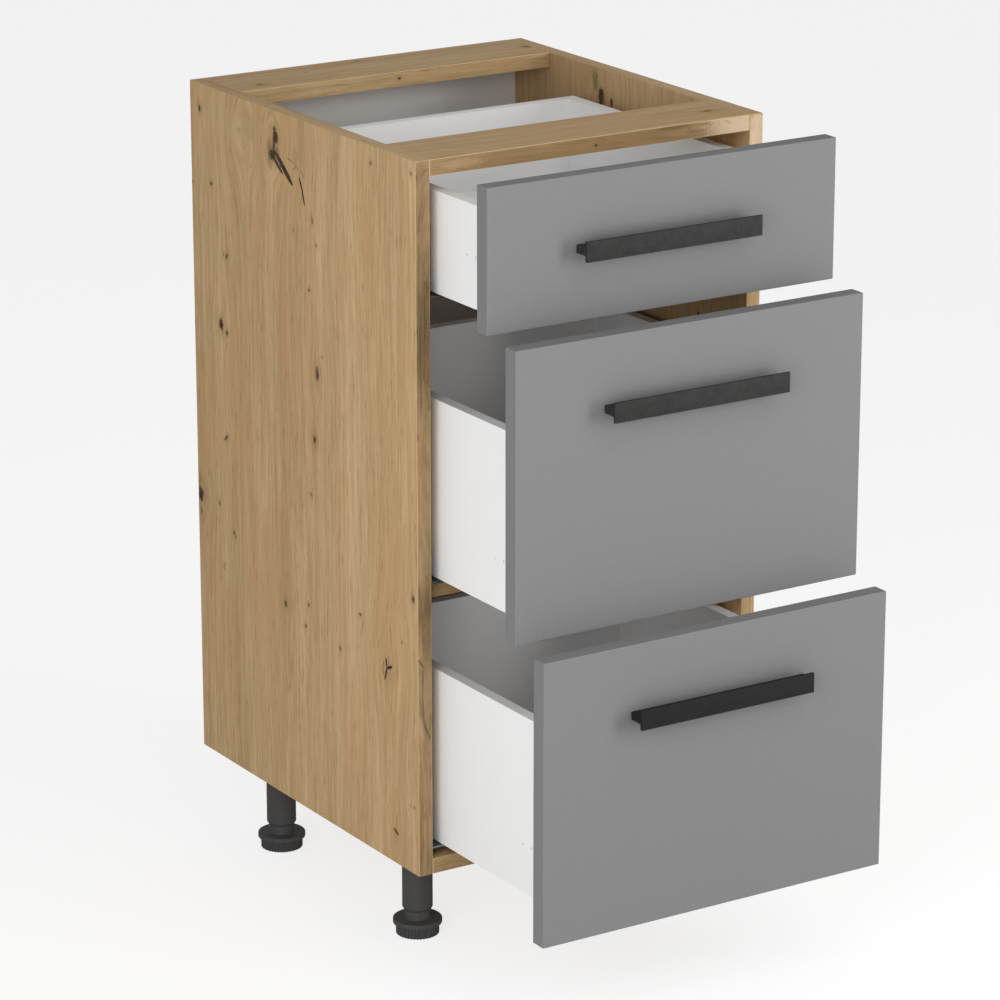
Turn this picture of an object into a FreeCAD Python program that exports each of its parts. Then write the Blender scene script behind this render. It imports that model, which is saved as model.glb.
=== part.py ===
import FreeCAD, Part
import os
import Sketcher

# Base cabinet with three drawers, in millimetres. X runs to the right, Y to the back, Z up.
# The origin is on the floor, under the middle of the whole outline with the drawers open as drawn:
# each drawer stands out by its own opening, the bottom one furthest.

SIZES = {
    # carcass
    "cabinet_width": 400, "side_depth": 440, "carcass_height": 720, "floor_clearance": 100,
    "board": 16, "top_rail_depth": 80, "middle_rail_depth": 80, "middle_rail_setback": 14,
    "middle_rail_clearance": 1,
    "back_thickness": 3, "back_inset": 10, "back_groove_depth": 8, "rail_groove_depth": 6,
    "panel_slack": 0.5, "groove_fit": 0.1,
    # hidden joints of the carcass
    "cam_radius": 7.5, "cam_height": 12.5, "cam_distance": 34, "bolt_radius": 3, "bolt_depth": 11,
    "bolt_fit": 0.2, "dowel_radius": 4, "dowel_in_side": 10, "dowel_in_board": 20, "hole_fit": 0.1,
    "rail_cam_inset": 25, "rail_dowel_inset": 57, "bottom_cam_front": 40, "bottom_cam_back": 20,
    "bottom_dowel_front": 120, "bottom_dowel_back": 110,
    # legs and feet
    "leg_inset_side": 50, "leg_inset_front": 86, "leg_inset_back": 77, "leg_tube_radius": 15.5,
    "leg_tube_end": 26, "leg_chamfer": 3, "leg_lip": 0.3, "leg_bore_top": 80, "leg_flange_radius": 28,
    "leg_flange_thickness": 4, "leg_collar_radius": 21, "leg_collar_height": 4, "leg_collar_cone": 6,
    "spigot_radius": 5, "spigot_length": 12, "spigot_offset": 13, "stem_fit": 0.1,
    "foot_base_radius": 22, "foot_base_height": 11, "foot_disc_radius": 25, "foot_disc_thickness": 5.5,
    "foot_bevel": 1, "foot_neck_radius": 13, "foot_stem_top": 65, "foot_rib_count": 40,
    "foot_rib_radius": 0.8,
    # drawer fronts
    "front_thickness": 18, "front_side_reveal": 2, "front_top_reveal": 1, "front_bottom_reveal": 3,
    "front_gap": 3, "top_front_height": 140, "front_stand_off": 2, "front_rounding": 0.8,
    # drawer boxes
    "box_side": 12, "box_back_clearance": 40, "runner_gap": 12.5, "top_box_height": 100,
    "low_box_height": 180, "top_box_lift": 8, "middle_box_lift": 11, "bottom_box_lift": 25,
    "bottom_recess": 15, "drawer_bottom": 3, "drawer_groove_depth": 6,
    "box_dowel_radius": 3, "box_dowel_length": 25, "box_dowel_across": 8, "box_dowel_low": 35,
    "box_dowel_below_top": 25,
    "spare_hole_radius": 1.25, "spare_hole_depth": 6, "spare_hole_height": 50,
    "spare_hole_setback": 44, "spare_hole_pitch": 15,
    # openings of the drawers as drawn
    "top_opening": 103, "middle_opening": 152, "bottom_opening": 201, "drawer_travel": 300,
    # handles
    "handle_length": 200, "handle_height": 20, "handle_plate": 3, "handle_projection": 18,
    "handle_web": 8, "handle_drop": 70, "handle_screw_spacing": 160, "handle_screw_radius": 2,
    "handle_screw_head": 4, "handle_head_height": 2.5, "handle_screw_grip": 9,
    "handle_hole_depth": 10, "handle_hole_fit": 0.2, "screw_fit": 0.05,
    # runners under the drawers
    "runner_setback": 5, "runner_sheet": 1.5, "runner_drop": 2, "runner_flange_top": 26,
    "runner_side_offset": 3.5, "runner_core": 12, "runner_core_gap": 5, "runner_floor": 0.5,
    "runner_lip": 2.2, "core_foot_gap": 0.5, "ball_radius": 2, "ball_play": 0.3, "ball_height": 5,
    "ball_hole_fit": 0.15, "ball_first": 9, "ball_pitch": 18, "cage_length": 90, "cage_wall": 1.6,
    "cage_web": 1.2, "cage_web_gap": 1.8, "cage_front_margin": 1,
    "runner_screw_radius": 1.75, "runner_screw_length": 13, "runner_screw_head": 3.5,
    "runner_head_height": 1.5, "runner_screw_height": 15, "runner_screw_first": 30,
    "runner_screw_pitch": 155, "front_screw_height": 7,
}
BALLS_IN_ROW = 5
SCREWS_IN_RAIL = 3
SIDES = {"left": -1, "right": 1}
MOST_FILES = 60
SMALLEST_CUT = 0.01

# Lengths that follow from the sizes, as expressions.
HALF_WIDTH = "(Sizes.cabinet_width / 2)"
INNER_HALF = "(Sizes.cabinet_width / 2 - Sizes.board)"
BACK_FACE = "(Sizes.side_depth - Sizes.back_inset - Sizes.back_thickness)"
BOTTOM_DEPTH = f"({BACK_FACE} - Sizes.groove_fit)"
TOP_BOARD_Z = "(Sizes.carcass_height - Sizes.board)"
LOW_FRONT = ("((Sizes.carcass_height - Sizes.front_top_reveal - Sizes.front_bottom_reveal"
             " - Sizes.top_front_height - 2 * Sizes.front_gap) / 2)")
FURTHEST_OPENING = "max(Sizes.top_opening; Sizes.middle_opening; Sizes.bottom_opening)"
OUTLINE_DEPTH = (f"(Sizes.handle_projection + Sizes.front_thickness + Sizes.front_stand_off"
                 f" + {FURTHEST_OPENING} + Sizes.side_depth)")
CARCASS_Y = f"({OUTLINE_DEPTH} / 2 - Sizes.side_depth)"
FRONT_HALF = "(Sizes.cabinet_width / 2 - Sizes.front_side_reveal)"
BOX_HALF = f"({INNER_HALF} - Sizes.runner_gap)"
BOX_INNER = f"({BOX_HALF} - Sizes.box_side)"
BOX_LENGTH = "(Sizes.side_depth - Sizes.box_back_clearance)"
BOTTOM_TOP = "(Sizes.bottom_recess + Sizes.drawer_bottom)"

# The runner's section, measured from the drawer side's inner face towards the middle.
BALL_GAP = "(2 * Sizes.ball_radius + 2 * Sizes.ball_play)"
CHANNEL_OUT = "Sizes.runner_side_offset"
CHANNEL_IN = "(Sizes.runner_side_offset + Sizes.runner_sheet)"
CORE_NEAR = f"({CHANNEL_IN} + {BALL_GAP})"
CORE_FAR = f"({CORE_NEAR} + Sizes.runner_core)"
CHANNEL_IN_FAR = f"({CORE_FAR} + {BALL_GAP})"
CHANNEL_OUT_FAR = f"({CHANNEL_IN_FAR} + Sizes.runner_sheet)"
RAIL_MIDDLE = f"({CORE_NEAR} + Sizes.runner_core / 2)"
PLATE_LOW = "(Sizes.bottom_recess - Sizes.runner_sheet)"
CORE_TOP = f"({PLATE_LOW} - Sizes.runner_core_gap)"
LIP_TOP = "(Sizes.runner_floor + Sizes.runner_sheet)"

doc = FreeCAD.newDocument("BaseCabinet")
sizes = doc.addObject("Spreadsheet::Sheet", "Sizes")
nodes = []


class Drawer:
    """One drawer's own numbers, and the expressions that place it."""

    def __init__(self, name, front_bottom, front_height, box_height, lift, opening, dowels):
        self.name = name
        self.front_height = front_height
        self.box_height = box_height
        self.lift = lift
        self.box_z = f"({front_bottom} + {lift})"
        self.y = f"({CARCASS_Y} - Sizes.front_stand_off - {opening})"
        self.z = f"(Sizes.floor_clearance + {self.box_z})"
        self.cage_y = (f"({CARCASS_Y} + Sizes.runner_setback + Sizes.cage_front_margin"
                       f" + (Sizes.drawer_travel - {opening}) / 2)")
        self.handle_z = f"({front_height} - {lift} - Sizes.handle_drop)"
        low = "Sizes.box_dowel_low"
        high = f"({box_height} - Sizes.box_dowel_below_top)"
        self.dowel_heights = [low, high] if dowels == 2 else [low, f"(({low} + {high}) / 2)", high]


LOW_2 = f"(Sizes.front_bottom_reveal + {LOW_FRONT} + Sizes.front_gap)"
LOW_1 = f"({LOW_2} + {LOW_FRONT} + Sizes.front_gap)"
DRAWERS = [
    Drawer("top", LOW_1, "Sizes.top_front_height", "Sizes.top_box_height", "Sizes.top_box_lift",
           "Sizes.top_opening", 2),
    Drawer("middle", LOW_2, LOW_FRONT, "Sizes.low_box_height", "Sizes.middle_box_lift",
           "Sizes.middle_opening", 3),
    Drawer("bottom", "Sizes.front_bottom_reveal", LOW_FRONT, "Sizes.low_box_height",
           "Sizes.bottom_box_lift", "Sizes.bottom_opening", 3),
]
MIDDLE_RAIL_Z = (f"({DRAWERS[1].box_z} - Sizes.runner_drop - Sizes.runner_sheet"
                 f" - Sizes.middle_rail_clearance - Sizes.board)")


def fill_sheet():
    """Writes each size into its own cell, under its own name."""
    for row, (name, number) in enumerate(SIZES.items(), start=1):
        sizes.set(f"A{row}", str(number))
        sizes.setAlias(f"A{row}", name)
    doc.recompute()


def new_body(label, x="0", y="0", z="0"):
    """A body that is one sub-part, placed by expressions."""
    body = doc.addObject("PartDesign::Body", "Body")
    body.Label = label
    for axis, expression in zip("xyz", (x, y, z)):
        body.setExpression(f"Placement.Base.{axis}", expression)
    return body


def keep(thing):
    """Marks an object as a sub-part to be written."""
    nodes.append(thing)
    return thing


# Each origin plane, and whether its normal points along the positive axis.
PLANES = {"XY": ("XY_Plane", 1), "XZ": ("XZ_Plane", -1), "YZ": ("YZ_Plane", 1)}


def origin_feature(body, role):
    """One of the body's own origin planes or axes."""
    return next(f for f in body.Origin.OriginFeatures if f.Role == role)


def new_sketch(body, plane, offset="0"):
    """A sketch parallel to an origin plane, offset along the positive axis."""
    role, normal = PLANES[plane]
    sketch = body.newObject("Sketcher::SketchObject", "Sketch")
    sketch.AttachmentSupport = [(origin_feature(body, role), "")]
    sketch.MapMode = "FlatFace"
    sketch.setExpression("AttachmentOffset.Base.z", f"{normal} * ({offset})")
    return sketch


def bind_point(sketch, geometry, place, start, point):
    """Moves one point of the sketch from where it starts to a pair of expressions."""
    for kind, at, expression in zip(("DistanceX", "DistanceY"), start, point):
        number = sketch.addConstraint(Sketcher.Constraint(kind, -1, 1, geometry, place, at))
        sketch.setExpression(f"Constraints[{number}]", expression)


def add_outline(sketch, points):
    """A closed outline of straight lines through points given as expressions."""
    first = sketch.GeometryCount
    count = len(points)
    corners = [FreeCAD.Vector(i, i * i, 0) for i in range(1, count + 1)]
    for i in range(count):
        sketch.addGeometry(Part.LineSegment(corners[i], corners[(i + 1) % count]), False)
    for i in range(count):
        following = first + (i + 1) % count
        sketch.addConstraint(Sketcher.Constraint("Coincident", first + i, 2, following, 1))
    for i in range(count):
        bind_point(sketch, first + i, 1, corners[i], points[i])


def add_circles(sketch, centres, radius):
    """Circles of one radius."""
    for i, centre in enumerate(centres):
        start = Part.Circle(FreeCAD.Vector(i, 0, 0), FreeCAD.Vector(0, 0, 1), 1)
        circle = sketch.addGeometry(start, False)
        bind_point(sketch, circle, 3, start.Center, centre)
        number = sketch.addConstraint(Sketcher.Constraint("Radius", circle, start.Radius))
        sketch.setExpression(f"Constraints[{number}]", radius)


def rectangle(a_low, a_high, b_low, b_high):
    """The four corners of a rectangle in a sketch."""
    return [(a_low, b_low), (a_high, b_low), (a_high, b_high), (a_low, b_high)]


def add_material(body, plane, sketch, length, direction):
    """Pads a sketch along the positive axis (1) or the negative one (-1)."""
    pad = body.newObject("PartDesign::Pad", "Pad")
    pad.Profile = sketch
    pad.Reversed = direction != PLANES[plane][1]
    pad.setExpression("Length", length)
    doc.recompute()
    return pad


def cut_material(body, plane, sketch, depth, direction):
    """Pockets a sketch along the positive axis (1) or the negative one (-1)."""
    before = body.Shape.Volume
    pocket = body.newObject("PartDesign::Pocket", "Pocket")
    pocket.Profile = sketch
    pocket.Reversed = direction == PLANES[plane][1]
    pocket.setExpression("Length", depth)
    doc.recompute()
    if before - body.Shape.Volume < SMALLEST_CUT:
        raise RuntimeError(f"a pocket in {body.Label} cuts nothing")
    return pocket


def block(body, x, y, z):
    """Adds a block between pairs of expressions on each axis."""
    sketch = new_sketch(body, "XY", z[0])
    add_outline(sketch, rectangle(x[0], x[1], y[0], y[1]))
    return add_material(body, "XY", sketch, f"{z[1]} - ({z[0]})", 1)


def rods(body, plane, offset, direction, centres, radius, length):
    """Adds round rods that stand on a plane."""
    sketch = new_sketch(body, plane, offset)
    add_circles(sketch, centres, radius)
    return add_material(body, plane, sketch, length, direction)


def drill(body, plane, offset, direction, centres, radius, depth):
    """Cuts round holes that start on a plane."""
    sketch = new_sketch(body, plane, offset)
    add_circles(sketch, centres, radius)
    return cut_material(body, plane, sketch, depth, direction)


def mill(body, plane, offset, direction, corners, depth):
    """Cuts a straight groove that starts on a plane."""
    sketch = new_sketch(body, plane, offset)
    add_outline(sketch, corners)
    return cut_material(body, plane, sketch, depth, direction)


def extrusion(body, outlines, y_from, length):
    """Adds sections drawn in X and Z, carried along Y."""
    sketch = new_sketch(body, "XZ", y_from)
    for outline in outlines:
        add_outline(sketch, outline)
    return add_material(body, "XZ", sketch, length, 1)


def carcass_body(label):
    """A body in the carcass's frame: its front edge, its middle and its underside."""
    return keep(new_body(label, "0", CARCASS_Y, "Sizes.floor_clearance"))


def drawer_body(drawer, name):
    """A body in a drawer's frame: the front's back face, the middle and the box's lower edge."""
    return keep(new_body(f"{name}_{drawer.name}", "0", drawer.y, drawer.z))


# Carcass

def mid_thickness(z):
    """The middle of a flat board whose underside is at z."""
    return f"({z} + Sizes.board / 2)"


class Board:
    """A flat board between the sides, with the Y of the cams and dowels at each of its ends."""

    def __init__(self, label, y_low, y_high, z, cams, dowels):
        self.label = label
        self.y = (y_low, y_high)
        self.z = z
        self.cams = [(y, mid_thickness(z)) for y in cams]
        self.dowels = [(y, mid_thickness(z)) for y in dowels]
        self.pockets = [(f"({sign} * ({INNER_HALF} - Sizes.cam_distance))", y)
                        for sign in SIDES.values() for y in cams]


def rail(label, y_low, depth, z):
    """A narrow board with one cam and one dowel at each end."""
    return Board(label, y_low, f"({y_low} + {depth})", z, [f"({y_low} + Sizes.rail_cam_inset)"],
                 [f"({y_low} + Sizes.rail_dowel_inset)"])


BOTTOM = Board("bottom_panel", "0", BOTTOM_DEPTH, "0",
               ["Sizes.bottom_cam_front", f"({BOTTOM_DEPTH} - Sizes.bottom_cam_back)"],
               ["Sizes.bottom_dowel_front", f"({BOTTOM_DEPTH} - Sizes.bottom_dowel_back)"])
FRONT_RAIL = rail("top_rail_front", "0", "Sizes.top_rail_depth", TOP_BOARD_Z)
BACK_RAIL = rail("top_rail_back", "(Sizes.side_depth - Sizes.top_rail_depth)",
                 "Sizes.top_rail_depth", TOP_BOARD_Z)
MIDDLE_RAIL = rail("middle_rail", "Sizes.middle_rail_setback", "Sizes.middle_rail_depth",
                   MIDDLE_RAIL_Z)
BOARDS = [BOTTOM, FRONT_RAIL, BACK_RAIL, MIDDLE_RAIL]
CAMS = [place for board in BOARDS for place in board.cams]
DOWELS = [place for board in BOARDS for place in board.dowels]


def leg_places():
    """The four legs: name, X and Y in the carcass's frame."""
    rows = {"front": "Sizes.leg_inset_front", "back": "(Sizes.side_depth - Sizes.leg_inset_back)"}
    across = f"({HALF_WIDTH} - Sizes.leg_inset_side)"
    return [(f"{row}_{side}", f"({sign} * {across})", y)
            for row, y in rows.items() for side, sign in SIDES.items()]


def runner_screws(drawer):
    """Where a cabinet rail is screwed to its side panel, in Y and Z of the carcass."""
    height = f"({drawer.box_z} + Sizes.runner_screw_height)"
    first = "Sizes.runner_setback + Sizes.runner_screw_first"
    return [(f"({first} + {i} * Sizes.runner_screw_pitch)", height) for i in range(SCREWS_IN_RAIL)]


def side_panel(side, sign):
    """A side board with its groove for the back and the holes for its fittings."""
    body = carcass_body(f"side_panel_{side}")
    inner, outer = f"({sign} * {INNER_HALF})", f"({sign} * {HALF_WIDTH})"
    block(body, (inner, outer), ("0", "Sizes.side_depth"), ("0", "Sizes.carcass_height"))
    groove = rectangle(f"({BACK_FACE} - Sizes.groove_fit)",
                       f"({BACK_FACE} + Sizes.back_thickness + Sizes.groove_fit)",
                       "0", f"({TOP_BOARD_Z} + Sizes.rail_groove_depth)")
    mill(body, "YZ", inner, sign, groove, "Sizes.back_groove_depth")
    drill(body, "YZ", inner, sign, CAMS, "Sizes.bolt_radius + Sizes.screw_fit",
          "Sizes.bolt_depth + Sizes.hole_fit")
    drill(body, "YZ", inner, sign, DOWELS, "Sizes.dowel_radius + Sizes.hole_fit",
          "Sizes.dowel_in_side + Sizes.hole_fit")
    places = [place for drawer in DRAWERS for place in runner_screws(drawer)]
    drill(body, "YZ", inner, sign, places, "Sizes.runner_screw_radius + Sizes.screw_fit",
          "Sizes.runner_screw_length - Sizes.runner_sheet + Sizes.hole_fit")


def flat_board(board):
    """A board between the sides, with its cam pockets and the holes in its two ends."""
    body = carcass_body(board.label)
    block(body, (f"-{INNER_HALF}", INNER_HALF), board.y, (board.z, f"({board.z} + Sizes.board)"))
    for sign in SIDES.values():
        end = f"({sign} * {INNER_HALF})"
        drill(body, "YZ", end, -sign, board.cams, "Sizes.bolt_radius + Sizes.bolt_fit",
              "Sizes.cam_distance")
        drill(body, "YZ", end, -sign, board.dowels, "Sizes.dowel_radius + Sizes.hole_fit",
              "Sizes.dowel_in_board + Sizes.hole_fit")
    drill(body, "XY", board.z, 1, board.pockets, "Sizes.cam_radius + Sizes.hole_fit",
          "Sizes.cam_height + Sizes.hole_fit")
    return body


def carcass_boards():
    """The boards between the sides, and the thin back in its grooves."""
    bottom = flat_board(BOTTOM)
    spread = "Sizes.spigot_offset"
    spigots = [(f"({x} + {i} * {spread})", f"({y} + {j} * {spread})")
               for _, x, y in leg_places() for i in (-1, 1) for j in (-1, 1)]
    drill(bottom, "XY", "0", 1, spigots, "Sizes.spigot_radius + Sizes.hole_fit",
          "Sizes.spigot_length + Sizes.hole_fit")
    flat_board(FRONT_RAIL)
    flat_board(MIDDLE_RAIL)
    groove = rectangle(f"-{INNER_HALF}", INNER_HALF, f"({BACK_FACE} - Sizes.groove_fit)",
                       f"({BACK_FACE} + Sizes.back_thickness + Sizes.groove_fit)")
    mill(flat_board(BACK_RAIL), "XY", TOP_BOARD_Z, 1, groove, "Sizes.rail_groove_depth")
    back = carcass_body("back_panel")
    half = f"({INNER_HALF} + Sizes.back_groove_depth - Sizes.panel_slack)"
    top = f"({TOP_BOARD_Z} + Sizes.rail_groove_depth - Sizes.panel_slack)"
    block(back, (f"-{half}", half), (BACK_FACE, f"({BACK_FACE} + Sizes.back_thickness)"),
          ("Sizes.panel_slack", top))


def carcass_fittings():
    """The wooden dowels, and each cam with its bolt."""
    dowels = carcass_body("carcass_dowels")
    for sign in SIDES.values():
        rods(dowels, "YZ", f"({sign} * ({INNER_HALF} + Sizes.dowel_in_side))", -sign, DOWELS,
             "Sizes.dowel_radius", "Sizes.dowel_in_side + Sizes.dowel_in_board")
    cams = carcass_body("cam_fittings")
    for board in BOARDS:
        rods(cams, "XY", board.z, 1, board.pockets, "Sizes.cam_radius", "Sizes.cam_height")
    for sign in SIDES.values():
        drill(cams, "YZ", f"({sign} * {INNER_HALF})", -sign, CAMS,
              "Sizes.bolt_radius + Sizes.bolt_fit", "Sizes.cam_distance + Sizes.bolt_fit")
    for sign in SIDES.values():
        rods(cams, "YZ", f"({sign} * ({INNER_HALF} + Sizes.bolt_depth))", -sign, CAMS,
             "Sizes.bolt_radius", "Sizes.bolt_depth + Sizes.cam_distance")


# Legs and feet

def turned(body, points):
    """Adds a solid of revolution about Z from points of radius and height."""
    sketch = new_sketch(body, "XZ")
    add_outline(sketch, points)
    turn = body.newObject("PartDesign::Revolution", "Revolution")
    turn.Profile = sketch
    turn.ReferenceAxis = (sketch, ["V_Axis"])
    turn.Angle = 360
    doc.recompute()
    return turn


def leg_body(name, x, y):
    """A plastic leg: a flange with four spigots, a collar and a tube for the foot's stem."""
    body = keep(new_body(f"leg_body_{name}", x, f"({CARCASS_Y} + {y})"))
    tube = "Sizes.leg_tube_radius"
    bore = "(Sizes.foot_neck_radius + Sizes.stem_fit)"
    flange_low = "(Sizes.floor_clearance - Sizes.leg_flange_thickness)"
    collar_low = f"({flange_low} - Sizes.leg_collar_height)"
    cone_low = f"({collar_low} - Sizes.leg_collar_cone)"
    turned(body, [
        (bore, "Sizes.leg_tube_end"), (f"({bore} + Sizes.leg_lip)", "Sizes.leg_tube_end"),
        (tube, "(Sizes.leg_tube_end + Sizes.leg_chamfer)"), (tube, cone_low),
        ("Sizes.leg_collar_radius", collar_low), ("Sizes.leg_collar_radius", flange_low),
        ("Sizes.leg_flange_radius", flange_low), ("Sizes.leg_flange_radius", "Sizes.floor_clearance"),
        ("0", "Sizes.floor_clearance"), ("0", "Sizes.leg_bore_top"), (bore, "Sizes.leg_bore_top")])
    spread = "Sizes.spigot_offset"
    spigots = [(f"({i} * {spread})", f"({j} * {spread})") for i in (-1, 1) for j in (-1, 1)]
    rods(body, "XY", "Sizes.floor_clearance", 1, spigots, "Sizes.spigot_radius",
         "Sizes.spigot_length")


def foot(name, x, y):
    """A screw foot: a ribbed base to grip, a disc, and the stem that runs up the leg's tube."""
    body = keep(new_body(f"foot_{name}", x, f"({CARCASS_Y} + {y})"))
    base, disc, neck = "Sizes.foot_base_radius", "Sizes.foot_disc_radius", "Sizes.foot_neck_radius"
    low = "Sizes.foot_base_height"
    high = "(Sizes.foot_base_height + Sizes.foot_disc_thickness)"
    bevel = "Sizes.foot_bevel"
    turned(body, [
        ("0", "0"), (f"({base} - {bevel})", "0"), (base, bevel), (base, low),
        (f"({disc} - {bevel})", low), (disc, f"({low} + {bevel})"), (disc, f"({high} - {bevel})"),
        (f"({disc} - {bevel})", high), (neck, high), (neck, f"(Sizes.foot_stem_top - {bevel})"),
        (f"({neck} - {bevel})", "Sizes.foot_stem_top"), ("0", "Sizes.foot_stem_top")])
    flute = drill(body, "XY", "0", 1, [(base, "0")], "Sizes.foot_rib_radius", low)
    pattern = body.newObject("PartDesign::PolarPattern", "Ribs")
    pattern.Originals = [flute]
    pattern.Axis = (origin_feature(body, "Z_Axis"), [""])
    pattern.Angle = 360
    pattern.setExpression("Occurrences", "Sizes.foot_rib_count")
    body.Tip = pattern
    doc.recompute()


# Runners. Sections are written by their distance from the drawer side's inner face.

def from_box(sign, distance):
    """X of a point of the left or right runner."""
    return f"({sign} * ({BOX_INNER} - {distance}))"


def cabinet_rail(drawer, side, sign):
    """A bent rail: a flange on the side panel, a shelf under the drawer side, and a hollow core."""
    body = carcass_body(f"cabinet_rail_{drawer.name}_{side}")
    wall, sheet = f"({sign} * {INNER_HALF})", "Sizes.runner_sheet"
    flange = f"({sign} * ({INNER_HALF} - {sheet}))"
    base = drawer.box_z
    shelf_top = f"({base} - Sizes.runner_drop)"
    shelf_low = f"({shelf_top} - {sheet})"
    core_top = f"({base} + {CORE_TOP})"
    core_foot = f"({shelf_top} + Sizes.core_foot_gap)"
    near, far = from_box(sign, CORE_NEAR), from_box(sign, CORE_FAR)
    near_in = from_box(sign, f"({CORE_NEAR} + {sheet})")
    far_in = from_box(sign, f"({CORE_FAR} - {sheet})")
    flange_top = f"({base} + Sizes.runner_flange_top)"
    outline = [
        (wall, flange_top), (wall, shelf_low), (far, shelf_low), (far, core_top), (near, core_top),
        (near, core_foot), (near_in, core_foot), (near_in, f"({core_top} - {sheet})"),
        (far_in, f"({core_top} - {sheet})"), (far_in, shelf_top), (flange, shelf_top),
        (flange, flange_top)]
    extrusion(body, [outline], "Sizes.runner_setback", BOX_LENGTH)
    drill(body, "YZ", wall, -sign, runner_screws(drawer), "Sizes.runner_screw_radius + Sizes.screw_fit",
          sheet)


def drawer_rail(drawer, side, sign):
    """A channel, open below, that hangs under the drawer bottom and ends in a tab at the front."""
    body = keep(new_body(f"drawer_rail_{drawer.name}_{side}", "0", drawer.y, drawer.z))
    out, inside = from_box(sign, CHANNEL_OUT), from_box(sign, CHANNEL_IN)
    lip = from_box(sign, f"({CHANNEL_IN} + Sizes.runner_lip)")
    out_far, inside_far = from_box(sign, CHANNEL_OUT_FAR), from_box(sign, CHANNEL_IN_FAR)
    lip_far = from_box(sign, f"({CHANNEL_IN_FAR} - Sizes.runner_lip)")
    top, floor = "Sizes.bottom_recess", "Sizes.runner_floor"
    outline = [
        (out, top), (out, floor), (lip, floor), (lip, LIP_TOP), (inside, LIP_TOP),
        (inside, PLATE_LOW), (inside_far, PLATE_LOW), (inside_far, LIP_TOP), (lip_far, LIP_TOP),
        (lip_far, floor), (out_far, floor), (out_far, top)]
    extrusion(body, [outline], "0", BOX_LENGTH)
    extrusion(body, [rectangle(out, out_far, floor, top)], "0", "Sizes.runner_sheet")
    middle = from_box(sign, RAIL_MIDDLE)
    hole = "Sizes.runner_screw_radius + Sizes.screw_fit"
    drill(body, "XZ", "0", 1, [(middle, "Sizes.front_screw_height")], hole, "Sizes.runner_sheet")
    rear = [(middle, f"({BOX_LENGTH} - Sizes.box_side / 2)")]
    drill(body, "XY", PLATE_LOW, 1, rear, hole, "Sizes.runner_sheet")


def drawer_rail_screws(drawer):
    """The screws that hold the drawer's two rails: into the front and up into the back."""
    body = drawer_body(drawer, "drawer_rail_screws")
    middles = [from_box(sign, RAIL_MIDDLE) for sign in SIDES.values()]
    front = [(middle, "Sizes.front_screw_height") for middle in middles]
    rear = [(middle, f"({BOX_LENGTH} - Sizes.box_side / 2)") for middle in middles]
    radius, length = "Sizes.runner_screw_radius", "Sizes.runner_screw_length"
    rods(body, "XZ", "Sizes.runner_sheet", -1, front, radius, length)
    rods(body, "XZ", "Sizes.runner_sheet", 1, front, "Sizes.runner_screw_head",
         "Sizes.runner_head_height")
    rods(body, "XY", PLATE_LOW, 1, rear, radius, length)
    rods(body, "XY", PLATE_LOW, -1, rear, "Sizes.runner_screw_head", "Sizes.runner_head_height")


def cabinet_rail_screws():
    """The screws that hold the six cabinet rails to the side panels."""
    body = carcass_body("cabinet_rail_screws")
    places = [place for drawer in DRAWERS for place in runner_screws(drawer)]
    for sign in SIDES.values():
        face = f"({sign} * ({INNER_HALF} - Sizes.runner_sheet))"
        rods(body, "YZ", face, sign, places, "Sizes.runner_screw_radius", "Sizes.runner_screw_length")
        rods(body, "YZ", face, -sign, places, "Sizes.runner_screw_head", "Sizes.runner_head_height")


def ball_cages(drawer):
    """A drawer's two ball cages: each a plastic saddle over the core with a row of balls per leg."""
    cages = new_body(f"cage_saddles_{drawer.name}", "0", drawer.cage_y, drawer.z)
    half_gap = f"({BALL_GAP} / 2)"
    wall = "(Sizes.cage_wall / 2)"
    web_low = f"({CORE_TOP} + Sizes.cage_web_gap)"
    web_top = f"({web_low} + Sizes.cage_web)"
    leg_low = f"({LIP_TOP} + Sizes.ball_play)"
    rows = [f"({CORE_NEAR} - {half_gap})", f"({CORE_FAR} + {half_gap})"]
    saddles = []
    for sign in SIDES.values():
        out, into = from_box(sign, f"({rows[0]} - {wall})"), from_box(sign, f"({rows[0]} + {wall})")
        into_far = from_box(sign, f"({rows[1]} - {wall})")
        out_far = from_box(sign, f"({rows[1]} + {wall})")
        saddles.append([(out, web_top), (out, leg_low), (into, leg_low), (into, web_low),
                        (into_far, web_low), (into_far, leg_low), (out_far, leg_low),
                        (out_far, web_top)])
    extrusion(cages, saddles, "0", "Sizes.cage_length")
    along = [f"(Sizes.ball_first + {i} * Sizes.ball_pitch)" for i in range(BALLS_IN_ROW)]
    drill(cages, "YZ", f"-{INNER_HALF}", 1, [(y, "Sizes.ball_height") for y in along],
          "Sizes.ball_radius + Sizes.ball_hole_fit", f"2 * {INNER_HALF}")
    pieces = [cages]
    for sign in SIDES.values():
        for row in rows:
            for y in along:
                ball = doc.addObject("Part::Sphere", "Ball")
                ball.setExpression("Radius", "Sizes.ball_radius")
                ball.setExpression("Placement.Base.x", from_box(sign, row))
                ball.setExpression("Placement.Base.y", f"{drawer.cage_y} + {y}")
                ball.setExpression("Placement.Base.z", f"{drawer.z} + Sizes.ball_height")
                pieces.append(ball)
    group = doc.addObject("Part::Compound", "Cages")
    group.Label = f"ball_cages_{drawer.name}"
    group.Links = pieces
    doc.recompute()
    keep(group)


# Drawers

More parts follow.
